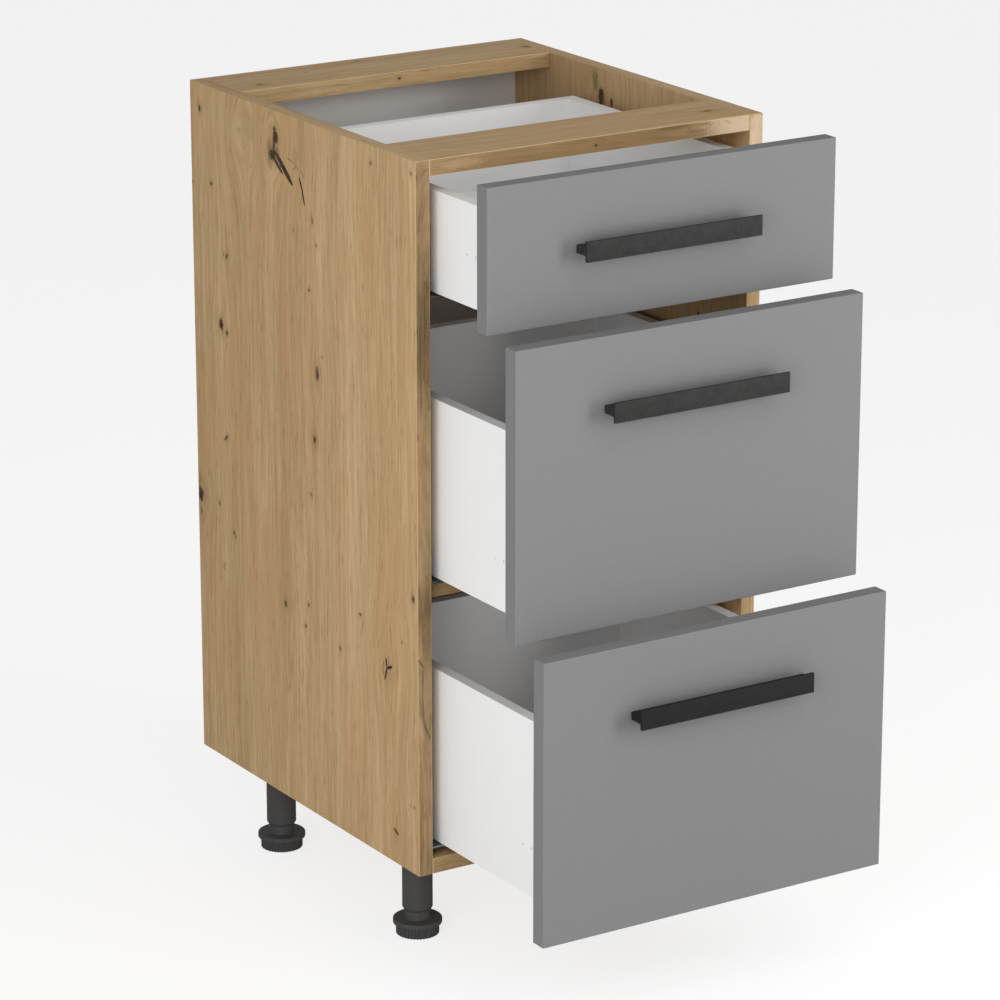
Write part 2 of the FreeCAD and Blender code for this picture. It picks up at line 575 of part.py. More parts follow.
def drawer_front(drawer):
    """A front panel, with the holes and the groove in its back."""
    body = drawer_body(drawer, "drawer_front")
    low, high = f"(-{drawer.lift})", f"({drawer.front_height} - {drawer.lift})"
    panel = block(body, (f"-{FRONT_HALF}", FRONT_HALF), ("-Sizes.front_thickness", "0"), (low, high))
    rounding = body.newObject("PartDesign::Fillet", "Rounding")
    rounding.Base = (panel, [f"Edge{i + 1}" for i in range(len(panel.Shape.Edges))])
    rounding.setExpression("Radius", "Sizes.front_rounding")
    doc.recompute()
    half = f"({BOX_INNER} + Sizes.drawer_groove_depth)"
    groove = rectangle(f"-{half}", half, "(Sizes.bottom_recess - Sizes.groove_fit)",
                       f"({BOTTOM_TOP} + Sizes.groove_fit)")
    mill(body, "XZ", "0", -1, groove, "Sizes.drawer_groove_depth")
    dowels = [(f"({sign} * ({BOX_HALF} - Sizes.box_side / 2))", z)
              for sign in SIDES.values() for z in drawer.dowel_heights]
    drill(body, "XZ", "0", -1, dowels, "Sizes.box_dowel_radius + Sizes.hole_fit",
          "Sizes.box_dowel_across + Sizes.hole_fit")
    drill(body, "XZ", "0", -1, handle_screw_places(drawer),
          "Sizes.handle_screw_radius + Sizes.handle_hole_fit", "Sizes.front_thickness")
    rails = [(from_box(sign, RAIL_MIDDLE), "Sizes.front_screw_height") for sign in SIDES.values()]
    drill(body, "XZ", "0", -1, rails, "Sizes.runner_screw_radius + Sizes.screw_fit",
          "Sizes.runner_screw_length - Sizes.runner_sheet + Sizes.hole_fit")


def drawer_side(drawer, side, sign):
    """A drawer side: grooved for the bottom, doweled to the front and back, with two spare holes."""
    body = keep(new_body(f"drawer_side_{drawer.name}_{side}", "0", drawer.y, drawer.z))
    outer, inner = f"({sign} * {BOX_HALF})", f"({sign} * {BOX_INNER})"
    block(body, (inner, outer), ("0", BOX_LENGTH), ("0", drawer.box_height))
    groove = rectangle("0", BOX_LENGTH, "(Sizes.bottom_recess - Sizes.groove_fit)",
                       f"({BOTTOM_TOP} + Sizes.groove_fit)")
    mill(body, "YZ", inner, sign, groove, "Sizes.drawer_groove_depth")
    radius = "Sizes.box_dowel_radius + Sizes.hole_fit"
    middle = f"({sign} * ({BOX_HALF} - Sizes.box_side / 2))"
    drill(body, "XZ", "0", 1, [(middle, z) for z in drawer.dowel_heights], radius,
          "Sizes.box_dowel_length - Sizes.box_dowel_across + Sizes.hole_fit")
    drill(body, "YZ", inner, sign,
          [(f"({BOX_LENGTH} - Sizes.box_side / 2)", z) for z in drawer.dowel_heights], radius,
          "Sizes.box_dowel_across + Sizes.hole_fit")
    spare = [(f"(Sizes.spare_hole_setback + {i} * Sizes.spare_hole_pitch)", "Sizes.spare_hole_height")
             for i in range(2)]
    drill(body, "YZ", outer, -sign, spare, "Sizes.spare_hole_radius", "Sizes.spare_hole_depth")


def drawer_back(drawer):
    """The board at the drawer's back, which stands on the drawer bottom."""
    body = drawer_body(drawer, "drawer_back")
    block(body, (f"-{BOX_INNER}", BOX_INNER), (f"({BOX_LENGTH} - Sizes.box_side)", BOX_LENGTH),
          (BOTTOM_TOP, drawer.box_height))
    middle = f"({BOX_LENGTH} - Sizes.box_side / 2)"
    for sign in SIDES.values():
        drill(body, "YZ", f"({sign} * {BOX_INNER})", -sign, [(middle, z) for z in drawer.dowel_heights],
              "Sizes.box_dowel_radius + Sizes.hole_fit",
              "Sizes.box_dowel_length - Sizes.box_dowel_across + Sizes.hole_fit")
    screws = [(from_box(sign, RAIL_MIDDLE), middle) for sign in SIDES.values()]
    drill(body, "XY", BOTTOM_TOP, 1, screws, "Sizes.runner_screw_radius + Sizes.screw_fit",
          "Sizes.runner_screw_length - Sizes.runner_sheet - Sizes.drawer_bottom + Sizes.hole_fit")


def drawer_bottom(drawer):
    """The thin board that slides in the grooves of the sides and the front."""
    body = drawer_body(drawer, "drawer_bottom")
    half = f"({BOX_INNER} + Sizes.drawer_groove_depth - Sizes.panel_slack)"
    block(body, (f"-{half}", half), ("(Sizes.panel_slack - Sizes.drawer_groove_depth)", BOX_LENGTH),
          ("Sizes.bottom_recess", BOTTOM_TOP))
    screws = [(from_box(sign, RAIL_MIDDLE), f"({BOX_LENGTH} - Sizes.box_side / 2)")
              for sign in SIDES.values()]
    drill(body, "XY", "Sizes.bottom_recess", 1, screws, "Sizes.runner_screw_radius + Sizes.screw_fit",
          "Sizes.drawer_bottom")


def drawer_dowels(drawer):
    """The dowels of the drawer box: sides to front, and sides to back."""
    body = drawer_body(drawer, "drawer_dowels")
    fronts = [(f"({sign} * ({BOX_HALF} - Sizes.box_side / 2))", z)
              for sign in SIDES.values() for z in drawer.dowel_heights]
    rods(body, "XZ", "-Sizes.box_dowel_across", 1, fronts, "Sizes.box_dowel_radius",
         "Sizes.box_dowel_length")
    backs = [(f"({BOX_LENGTH} - Sizes.box_side / 2)", z) for z in drawer.dowel_heights]
    for sign in SIDES.values():
        rods(body, "YZ", f"({sign} * ({BOX_INNER} + Sizes.box_dowel_across))", -sign, backs,
             "Sizes.box_dowel_radius", "Sizes.box_dowel_length")


def handle_screw_places(drawer):
    """X and Z of the two screws of a handle."""
    return [(f"({sign} * Sizes.handle_screw_spacing / 2)", drawer.handle_z) for sign in SIDES.values()]


def handle(drawer):
    """A bar of T section: a plate to pull on, carried by a web along its whole length."""
    body = drawer_body(drawer, "handle")
    face = "(-Sizes.front_thickness)"
    outer = f"({face} - Sizes.handle_projection)"
    plate = f"({outer} + Sizes.handle_plate)"
    z = drawer.handle_z
    tall, web = "Sizes.handle_height / 2", "Sizes.handle_web / 2"
    section = [
        (outer, f"({z} - {tall})"), (plate, f"({z} - {tall})"), (plate, f"({z} - {web})"),
        (face, f"({z} - {web})"), (face, f"({z} + {web})"), (plate, f"({z} + {web})"),
        (plate, f"({z} + {tall})"), (outer, f"({z} + {tall})")]
    sketch = new_sketch(body, "YZ", "-Sizes.handle_length / 2")
    add_outline(sketch, section)
    add_material(body, "YZ", sketch, "Sizes.handle_length", 1)
    drill(body, "XZ", face, -1, handle_screw_places(drawer),
          "Sizes.handle_screw_radius + Sizes.screw_fit", "Sizes.handle_hole_depth")


def handle_screws(drawer):
    """The two screws of a handle, with their heads inside the drawer."""
    body = drawer_body(drawer, "handle_screws")
    places = handle_screw_places(drawer)
    rods(body, "XZ", "0", -1, places, "Sizes.handle_screw_radius",
         "Sizes.front_thickness + Sizes.handle_screw_grip")
    rods(body, "XZ", "0", 1, places, "Sizes.handle_screw_head", "Sizes.handle_head_height")


def check_document():
    """Stops if any object failed or any sub-part isn't a sound solid with a name of its own."""
    for thing in doc.Objects:
        if "Invalid" in thing.State or "Error" in thing.State:
            raise RuntimeError(f"{thing.Label} ({thing.Name}) failed: {thing.State}")
    for node in nodes:
        if node.Shape.isNull() or not node.Shape.isValid() or not node.Shape.Solids:
            raise RuntimeError(f"{node.Label} has no sound shape")
    labels = [node.Label for node in nodes]
    if len(set(labels)) != len(labels) or len(labels) > MOST_FILES:
        raise RuntimeError(f"{len(labels)} sub-parts, {len(set(labels))} names")


def write_parts():
    """Writes each sub-part to its own file."""
    os.makedirs("parts", exist_ok=True)
    for node in nodes:
        node.Shape.exportStep(os.path.join("parts", f"{node.Label}.step"))
        print(f"{node.Label}: {len(node.Shape.Solids)} solids, {node.Shape.Volume:.0f} mm3")
    outline = nodes[0].Shape.BoundBox
    for node in nodes:
        outline.add(node.Shape.BoundBox)
    print(f"{len(nodes)} sub-parts, X {outline.XMin:.2f} {outline.XMax:.2f},"
          f" Y {outline.YMin:.2f} {outline.YMax:.2f}, Z {outline.ZMin:.2f} {outline.ZMax:.2f}")


def main():
    fill_sheet()
    for side, sign in SIDES.items():
        side_panel(side, sign)
    carcass_boards()
    carcass_fittings()
    for name, x, y in leg_places():
        leg_body(name, x, y)
        foot(name, x, y)
    cabinet_rail_screws()
    for drawer in DRAWERS:
        drawer_front(drawer)
        drawer_back(drawer)
        drawer_bottom(drawer)
        drawer_dowels(drawer)
        handle(drawer)
        handle_screws(drawer)
        drawer_rail_screws(drawer)
        ball_cages(drawer)
        for side, sign in SIDES.items():
            drawer_side(drawer, side, sign)
            drawer_rail(drawer, side, sign)
            cabinet_rail(drawer, side, sign)
    doc.recompute()
    check_document()
    write_parts()


main()
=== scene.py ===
"""The looks of a narrow base cabinet with three drawers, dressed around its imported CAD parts.

Lengths are metres in the frame of the CAD parts: +X right, +Y back to the wall, +Z up. The drawers stand
open, as they do at rest. Boards are made again with eased arrises, handles, legs and feet with their
mouldings, and screws with their recesses. The other CAD parts stay and get a finish.
"""
import logging
import math
from dataclasses import dataclass
from enum import Enum
from typing import Callable

import bmesh
import bpy
import numpy as np
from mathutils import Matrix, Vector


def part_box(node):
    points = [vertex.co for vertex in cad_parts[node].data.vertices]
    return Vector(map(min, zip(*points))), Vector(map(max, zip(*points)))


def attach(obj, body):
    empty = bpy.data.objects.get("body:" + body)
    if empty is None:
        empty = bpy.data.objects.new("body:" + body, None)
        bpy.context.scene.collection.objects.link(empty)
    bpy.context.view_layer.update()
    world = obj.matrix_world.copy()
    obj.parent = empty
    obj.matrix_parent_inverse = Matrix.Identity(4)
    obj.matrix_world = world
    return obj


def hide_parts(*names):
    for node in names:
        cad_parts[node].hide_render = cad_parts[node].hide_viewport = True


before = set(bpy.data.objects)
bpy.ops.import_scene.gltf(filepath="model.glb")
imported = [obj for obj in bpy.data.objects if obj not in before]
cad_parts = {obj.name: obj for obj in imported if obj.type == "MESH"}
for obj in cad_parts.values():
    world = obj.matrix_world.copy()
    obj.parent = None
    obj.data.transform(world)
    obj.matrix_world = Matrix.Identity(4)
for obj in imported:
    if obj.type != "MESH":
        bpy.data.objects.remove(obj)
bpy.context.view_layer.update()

LOG = logging.getLogger("cabinet")
MM = 0.001
MERGE_DISTANCE = 1e-7
SHARP_ANGLE = math.radians(35)
CARCASS_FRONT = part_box("side_panel_left")[0][1]
GRAIN_MAP = "grain"
ARRIS = "arris"
WHITE = (1.0, 1.0, 1.0, 1.0)

Socket = bpy.types.NodeSocket
Value = Socket | float | tuple
Colour = tuple[float, float, float]
Surface = tuple[np.ndarray, list]


class Axis(Enum):
    """A direction of the frame, by its index."""
    X = 0
    Y = 1
    Z = 2


class Facing(Enum):
    """The side of a board that a person looks at, as an axis and a sign."""
    LEFT = (Axis.X, -1)
    FRONT = (Axis.Y, -1)
    TOP = (Axis.Z, 1)


# Surfaces

def grid_faces(rows: int, columns: int) -> np.ndarray:
    """Quads of a grid that closes on itself along its columns.

    Args:
        rows: Number of rings.
        columns: Number of points in a ring.

    Returns:
        One row of four point numbers for each quad.
    """
    start = np.arange(rows - 1)[:, None] * columns
    here = np.arange(columns)[None, :]
    beside = (here + 1) % columns
    corners = (start + here, start + beside, start + columns + beside, start + columns + here)
    return np.stack(corners, axis=-1).reshape(-1, 4)


def filleted(corners: np.ndarray, radii: np.ndarray, steps: int, closed: bool = True) -> np.ndarray:
    """Rounds the corners of an outline.

    At a corner whose two sides meet at the angle a, the arc of radius r has its centre r / sin(a / 2)
    from the corner along the bisector, and starts r / tan(a / 2) from the corner. A point of the arc is
    a mix of its two end radii, weighted by the sines of the angles that are left on each side.

    Args:
        corners: Points in two dimensions, one row each.
        radii: Radius at each corner.
        steps: Number of points on each arc.
        closed: False keeps the first and the last point as they are.

    Returns:
        The rounded outline, one row for each point.
    """
    before, after = np.roll(corners, 1, axis=0) - corners, np.roll(corners, -1, axis=0) - corners
    before = before / np.linalg.norm(before, axis=1, keepdims=True)
    after = after / np.linalg.norm(after, axis=1, keepdims=True)
    between = np.arccos(np.clip((before * after).sum(axis=1), -1, 1))[:, None]
    middle = before + after
    radius = radii[:, None]
    centre = corners + middle / np.linalg.norm(middle, axis=1, keepdims=True) * radius / np.sin(between / 2)
    start = corners + before * radius / np.tan(between / 2) - centre
    end = corners + after * radius / np.tan(between / 2) - centre
    turn = (np.pi - between)[:, None]
    share = np.linspace(0, 1, steps)[None, :, None]
    arc = (start[:, None] * np.sin((1 - share) * turn) + end[:, None] * np.sin(share * turn)) / np.sin(turn)
    points = centre[:, None] + arc
    if closed:
        return points.reshape(-1, 2)
    return np.concatenate([corners[:1], points[1:-1].reshape(-1, 2), corners[-1:]])


def outward_normals(outline: np.ndarray) -> np.ndarray:
    """Unit normals of a closed outline that runs anticlockwise: its chords turned by a right angle.

    Args:
        outline: Points in two dimensions, one row each, none repeated.

    Returns:
        One normal for each point.
    """
    chord = np.roll(outline, -1, axis=0) - np.roll(outline, 1, axis=0)
    normal = np.stack([chord[:, 1], -chord[:, 0]], axis=1)
    return normal / np.linalg.norm(normal, axis=1, keepdims=True)


def capped_faces(rows: int, columns: int) -> list:
    """Faces of a stack of rings whose first and last ring are filled.

    Args:
        rows: Number of rings.
        columns: Number of points in a ring.

    Returns:
        Lists of point numbers.
    """
    caps = [list(range(columns))[::-1], list(range((rows - 1) * columns, rows * columns))]
    return grid_faces(rows, columns).tolist() + caps


def mesh_points(mesh: bpy.types.Mesh) -> np.ndarray:
    """Reads the points of a mesh.

    Args:
        mesh: The mesh.

    Returns:
        One row of X, Y and Z for each point.
    """
    points = np.empty(len(mesh.vertices) * 3)
    mesh.vertices.foreach_get("co", points)
    return points.reshape(-1, 3)


def surface_object(name: str, points: np.ndarray, faces: list) -> bpy.types.Object:
    """Makes one closed mesh object, with its doubles merged and its faces outwards.

    Args:
        name: The piece's name.
        points: One row of X, Y and Z for each point.
        faces: Lists of point numbers.

    Returns:
        The object, at the origin, shaded smooth.
    """
    mesh = bpy.data.meshes.new(name)
    mesh.from_pydata(points.tolist(), [], faces)
    work = bmesh.new()
    work.from_mesh(mesh)
    bmesh.ops.remove_doubles(work, verts=work.verts, dist=MERGE_DISTANCE)
    bmesh.ops.recalc_face_normals(work, faces=work.faces)
    work.to_mesh(mesh)
    work.free()
    mesh.shade_smooth()
    piece = bpy.data.objects.new(name, mesh)
    bpy.context.collection.objects.link(piece)
    return piece


def rounded_box_points(low: np.ndarray, high: np.ndarray, radius: float, axis: Axis,
                       steps: int) -> Surface:
    """Points and faces of a box whose edges and corners are round.

    A ring at the end angle p is a rounded rectangle: a quarter circle of radius r sin(p) round each
    corner of the inner rectangle, which is r smaller than the box on every side. The ring lies r cos(p)
    outside the inner box along the axis. The angle p runs from 0 to 90 degrees at one end of the box
    and back at the other.

    Args:
        low: The box's lowest corner.
        high: The box's highest corner.
        radius: Radius of the edges.
        axis: The way the rings are stacked.
        steps: Number of parts in each quarter circle.

    Returns:
        The points and the faces.
    """
    a = axis.value
    b, c = (a + 1) % 3, (a + 2) % 3
    half = (high - low) / 2 - radius
    quarter = np.linspace(0, np.pi / 2, steps + 1)
    around = (np.arange(4)[:, None] * np.pi / 2 + quarter[None, :]).ravel()
    side_b = np.repeat([1.0, -1.0, -1.0, 1.0], steps + 1) * half[b]
    side_c = np.repeat([1.0, 1.0, -1.0, -1.0], steps + 1) * half[c]
    end_angle = np.concatenate([quarter, quarter[::-1]])
    level = np.concatenate([-half[a] - radius * np.cos(quarter), half[a] + radius * np.cos(quarter[::-1])])
    swell = radius * np.sin(end_angle)[:, None]
    points = np.empty((len(end_angle), len(around), 3))
    points[..., a] = level[:, None]
    points[..., b] = side_b + swell * np.cos(around)
    points[..., c] = side_c + swell * np.sin(around)
    points = points.reshape(-1, 3) + (low + high) / 2
    return points, capped_faces(len(end_angle), len(around))


def turned_points(profile: np.ndarray, angles: np.ndarray,
                  flute: Callable[[np.ndarray, np.ndarray], np.ndarray] | None = None) -> Surface:
    """Points and faces of a profile carried round the Z axis.

    The point at the angle t is (r cos t, r sin t, z), where r is the profile's radius less the depth of
    the flute at t and z.

    Args:
        profile: Radius and height, one row each, from pole to pole or closed by the caller.
        angles: The angles, in order, over one turn.
        flute: Gives a depth for arrays of angle and height.

    Returns:
        The points and the faces.
    """
    radius, height = profile[:, 0][:, None], profile[:, 1][:, None]
    turn = angles[None, :]
    if flute is not None:
        radius = np.maximum(radius - flute(turn, height), 0)
    across = radius * np.cos(turn)
    deep = radius * np.sin(turn)
    points = np.stack([across, deep, np.broadcast_to(height, across.shape)], axis=-1).reshape(-1, 3)
    return points, grid_faces(len(profile), len(angles)).tolist()


def carried_points(outline: np.ndarray, low: float, high: float, bevel: float,
                   steps: int) -> Surface:
    """Points and faces of a Y-Z outline carried along X, with its ends eased.

    At the end angle p, from 0 to 90 degrees, the outline is drawn in along its normals by
    bevel (1 - sin p) and lies bevel (1 - cos p) from the end.

    Args:
        outline: Closed outline in Y and Z.
        low: X of one end.
        high: X of the other end.
        bevel: Radius of the eased edge at each end.
        steps: Number of parts in that edge.

    Returns:
        The points and the faces.
    """
    angle = np.linspace(0, np.pi / 2, steps + 1)
    inset = bevel * (1 - np.sin(angle))
    from_end = bevel * (1 - np.cos(angle))
    along = np.concatenate([low + from_end, (high - from_end)[::-1]])
    inset = np.concatenate([inset, inset[::-1]])
    flat = outline[None] - outward_normals(outline)[None] * inset[:, None, None]
    points = np.empty((len(along), len(outline), 3))
    points[..., 0] = along[:, None]
    points[..., 1:] = flat
    return points.reshape(-1, 3), capped_faces(len(along), len(outline))


# Shader nodes

class Wiring:
    """Places shader nodes in one tree and joins them."""

    def __init__(self, tree: bpy.types.NodeTree) -> None:
        """Keeps the tree that the nodes go into."""
        self.tree = tree

    def put(self, socket: Socket, value: Value) -> None:
        """Links a socket to another one, or sets its own value.

        Args:
            socket: The socket to feed.
            value: What it gets.
        """
        if isinstance(value, Socket):
            self.tree.links.new(value, socket)
        else:
            socket.default_value = value

    def node(self, kind: str, inputs: dict | None = None, **settings) -> bpy.types.Node:
        """Adds a node.

        Args:
            kind: The node's type.
            inputs: Values or sockets for its inputs, by name or number.
            **settings: Values for its properties.

        Returns:
            The node.
        """
        made = self.tree.nodes.new(kind)
        for name, setting in settings.items():
            setattr(made, name, setting)
        for name, value in (inputs or {}).items():
            self.put(made.inputs[name], value)
        return made

    def math(self, operation: str, first: Value, second: Value = 0.0, clamp: bool = False) -> Socket:
        """One sum on one or two values."""
        made = self.node("ShaderNodeMath", {0: first, 1: second}, operation=operation, use_clamp=clamp)
        return made.outputs[0]

    def scaled(self, value: Value, factor: Value, plus: Value = 0.0) -> Socket:
        """A value times a factor plus another value."""
        made = self.node("ShaderNodeMath", {0: value, 1: factor, 2: plus}, operation="MULTIPLY_ADD")
        return made.outputs[0]

    def ramp(self, value: Value, low: Value, high: Value) -> Socket:
        """A smooth step from 0 to 1 as the input passes from low to high."""
        settings = {0: value, 1: low, 2: high}
        return self.node("ShaderNodeMapRange", settings, interpolation_type="SMOOTHSTEP").outputs[0]

    def point(self, x: Value, y: Value, z: Value = 0.0) -> Socket:
        """A point from its three coordinates."""
        return self.node("ShaderNodeCombineXYZ", {0: x, 1: y, 2: z}).outputs[0]

    def noise(self, where: Value, scale: float = 1.0, detail: float = 2.0, roughness: float = 0.5) -> Socket:
        """Noise from 0 to 1 at a point."""
        settings = {"Vector": where, "Scale": scale, "Detail": detail, "Roughness": roughness}
        return self.node("ShaderNodeTexNoise", settings).outputs[0]

    def blend(self, factor: Value, first: Value, second: Value) -> Socket:
        """Mixes two colours.

        Args:
            factor: Share of the second colour.
            first: The first colour.
            second: The second colour.

        Returns:
            The mixed colour.
        """
        made = self.node("ShaderNodeMix", data_type="RGBA")
        self.put(made.inputs[0], factor)
        for name, colour in (("A_Color", first), ("B_Color", second)):
            socket = next(entry for entry in made.inputs if entry.identifier == name)
            self.put(socket, colour if isinstance(colour, Socket) else (*colour, 1.0))
        return next(entry for entry in made.outputs if entry.identifier == "Result_Color")

    def effect(self, effect: "Effect", **values: Value) -> dict[str, Socket]:
        """Places a shared effect.

        Args:
            effect: The effect to place.
            **values: Its inputs, with an underscore for each space.

        Returns:
            Its outputs by name.
        """
        made = self.node("ShaderNodeGroup", node_tree=effect.tree())
        for name, value in values.items():
            self.put(made.inputs[name.replace("_", " ")], value)
        return {output.name: output for output in made.outputs}

    def object_point(self) -> Socket:
        """The point on the piece, in metres of the frame."""
        return self.node("ShaderNodeTexCoord").outputs["Object"]

    def split(self, point: Socket) -> tuple[Socket, Socket, Socket]:
        """The three coordinates of a point."""
        outputs = self.node("ShaderNodeSeparateXYZ", {0: point}).outputs
        return outputs[0], outputs[1], outputs[2]


@dataclass(frozen=True)
class Effect:
    """An effect that several finishes share: a node group that is built once."""
    name: str
    inputs: tuple[tuple[str, float], ...]
    outputs: tuple[str, ...]
    build: Callable[[Wiring, dict[str, Socket]], dict[str, Socket]]
    takes_point: bool = False

    def tree(self) -> bpy.types.NodeTree:
        """Builds the node group, or finds it if it was built before.

        Returns:
            The group.
        """
        if self.name in bpy.data.node_groups:
            return bpy.data.node_groups[self.name]
        tree = bpy.data.node_groups.new(self.name, "ShaderNodeTree")
        if self.takes_point:
            tree.interface.new_socket(name="Point", in_out="INPUT", socket_type="NodeSocketVector")
        for name, start in self.inputs:
            socket = tree.interface.new_socket(name=name, in_out="INPUT", socket_type="NodeSocketFloat")
            socket.default_value = start
        for name in self.outputs:
            tree.interface.new_socket(name=name, in_out="OUTPUT", socket_type="NodeSocketFloat")
        wiring = Wiring(tree)
        entry = wiring.node("NodeGroupInput")
        made = self.build(wiring, {output.name: output for output in entry.outputs})
        wiring.node("NodeGroupOutput", made)
        return tree


@dataclass(frozen=True)
class Streaks:
    """Noise stretched along the grain: changes in a metre across and along, then detail and roughness."""
    across: float
    along: float
    detail: float
    roughness: float = 0.5

    def placed(self, w: Wiring, across: Value, along: Value, shift: Value) -> Socket:
        """Adds the noise.

        Args:
            w: The wiring.
            across: Distance across the grain.
            along: Distance along the grain.
            shift: Which pattern of the noise is taken.

        Returns:
            The noise, from 0 to 1.
        """
        where = w.point(w.scaled(across, self.across), w.scaled(along, self.along), shift)
        return w.noise(where, detail=self.detail, roughness=self.roughness)


# The slow and the quick waver of the grain, each with how far it shifts the lines in metres.
WAVER, TREMBLE = Streaks(9.0, 2.3, 1.0), Streaks(38.0, 13.0, 2.0)
WAVER_REACH, TREMBLE_REACH = 0.020, 0.0045
# What the tone is made of and in which shares, then the redder patches and the pores.
LINES, HAIRS = Streaks(230.0, 7.0, 4.0, 0.66), Streaks(480.0, 26.0, 3.0, 0.6)
BANDS, PATCHES = Streaks(36.0, 1.3, 3.0), Streaks(24.0, 4.6, 4.0, 0.66)
LINES_SHARE, HAIRS_SHARE, BANDS_SHARE, TONE_BASE = 0.46, 0.34, 0.36, -0.08
PATCHES_SHIFT = 5.0
DASHES = Streaks(560.0, 48.0, 2.0)
# Where each of the three starts and ends, as a value of its noise.
TONE_RANGE, WARMTH_RANGE, PORES_RANGE = (0.32, 0.76), (0.42, 0.72), (0.59, 0.75)


def build_grain(w: Wiring, given: dict[str, Socket]) -> dict[str, Socket]:
    """Grain of a flat-sawn oak board.

    The lines are noise that is stretched about thirty times along the board. A slow noise shifts them
    from side to side, and a quicker one makes them tremble. Wide soft patches carry the redder tone,
    and thin short dashes are the pores.

    Args:
        w: The group's wiring.
        given: The group's inputs by name.

    Returns:
        The outputs by name.
    """
    across, along, shift = given["Across"], given["Along"], given["Shift"]
    waver, tremble = (kind.placed(w, across, along, shift) for kind in (WAVER, TREMBLE))
    moved = w.scaled(waver, WAVER_REACH, w.scaled(tremble, TREMBLE_REACH, across))
    lines, hairs, bands = (kind.placed(w, moved, along, shift) for kind in (LINES, HAIRS, BANDS))
    tone = w.scaled(bands, BANDS_SHARE, TONE_BASE)
    tone = w.scaled(lines, LINES_SHARE, w.scaled(hairs, HAIRS_SHARE, tone))
    patches = PATCHES.placed(w, moved, along, w.math("ADD", shift, PATCHES_SHIFT))
    dashes = DASHES.placed(w, moved, along, shift)
    return {"Tone": w.ramp(tone, *TONE_RANGE), "Warmth": w.ramp(patches, *WARMTH_RANGE),
            "Pores": w.ramp(dashes, *PORES_RANGE)}


def more_marks(w: Wiring, given: dict[str, Socket], heart: Socket, stain: Socket) -> dict[str, Socket]:
    """Adds a heart and a stain to those that a group was given."""
    return {"Heart": w.math("MAXIMUM", given["Heart"], heart),
            "Stain": w.math("MAXIMUM", given["Stain"], stain)}


# In half sizes of the knot: where its heart and its stain end, where both are full, and how much noise
# roughens them. The bell and the pull say how far and how strongly the grain bends.
HEART_OUT, HEART_IN, STAIN_OUT, SPECK_STAIN_OUT = 1.1, 0.5, 3.2, 3.0
RAGGED_SHARE, RAGGED_BASE = 1.5, 0.75
BELL, PULL = -0.07, -0.72


def build_knot(w: Wiring, given: dict[str, Socket]) -> dict[str, Socket]:
    """One knot, added to those before it.

    The distance from the knot is measured in its own half sizes, d. The heart is where d, made ragged by
    noise, is under 1, and the stain reaches to about 3. The grain is drawn towards the knot's middle by
    a bell-shaped share, so that its lines part round the heart.

    Args:
        w: The group's wiring.
        given: The group's inputs by name.

    Returns:
        The outputs by name.
    """
    out_x = w.math("SUBTRACT", given["Across"], given["Middle across"])
    out_y = w.math("SUBTRACT", given["Along"], given["Middle along"])
    leaned = w.scaled(out_y, given["Lean"], out_x)
    dx = w.math("DIVIDE", leaned, given["Half width"])
    dy = w.math("DIVIDE", out_y, given["Half length"])
    square = w.scaled(dx, dx, w.math("MULTIPLY", dy, dy))
    smooth = w.math("SUBTRACT", w.math("SQRT", square), RAGGED_BASE)
    distance = w.scaled(given["Ragged"], RAGGED_SHARE, smooth)
    heart = w.math("MULTIPLY", w.ramp(distance, HEART_OUT, HEART_IN), given["Depth"])
    stain = w.math("MULTIPLY", w.ramp(distance, STAIN_OUT, HEART_IN), given["Depth"])
    bell = w.math("EXPONENT", w.scaled(square, BELL))
    pull = w.math("MULTIPLY", w.math("MULTIPLY", out_x, bell), PULL)
    return {**more_marks(w, given, heart, stain), "Bend": w.math("ADD", given["Bend"], pull)}


# Half width that a crack keeps at its ends, in metres.
CRACK_END = 0.0003


def build_crack(w: Wiring, given: dict[str, Socket]) -> dict[str, Socket]:
    """One crack, added to the knots before it.

    It is a straight stretch between two points. The distance from that stretch is compared with a half
    width that swells to the middle and is least at both ends, and noise makes the edge ragged.

    Args:
        w: The group's wiring.
        given: The group's inputs by name.

    Returns:
        The outputs by name.
    """
    start = w.point(given["Start across"], given["Start along"])
    reach = w.node("ShaderNodeVectorMath", {0: w.point(given["End across"], given["End along"]), 1: start},
                   operation="SUBTRACT").outputs[0]
    here = w.node("ShaderNodeVectorMath", {0: w.point(given["Across"], given["Along"]), 1: start},
                  operation="SUBTRACT").outputs[0]
    dots = [w.node("ShaderNodeVectorMath", {0: first, 1: reach}, operation="DOT_PRODUCT").outputs["Value"]
            for first in (here, reach)]
    share = w.math("DIVIDE", dots[0], dots[1], clamp=True)
    foot = w.node("ShaderNodeVectorMath", {0: reach, "Scale": share}, operation="SCALE").outputs[0]
    distance = w.node("ShaderNodeVectorMath", {0: here, 1: foot}, operation="DISTANCE").outputs["Value"]
    bow = w.math("MULTIPLY", w.math("MULTIPLY", share, w.math("SUBTRACT", 1.0, share)), 4.0)
    width = w.scaled(w.math("SQRT", bow), given["Half width"], CRACK_END)
    width = w.math("MULTIPLY", width, w.scaled(given["Ragged"], 1.6, 0.2))
    mask = w.math("MULTIPLY", w.ramp(w.math("DIVIDE", distance, width), 1.25, 0.7), given["Depth"])
    return {"Heart": w.math("MAXIMUM", given["Heart"], mask)}


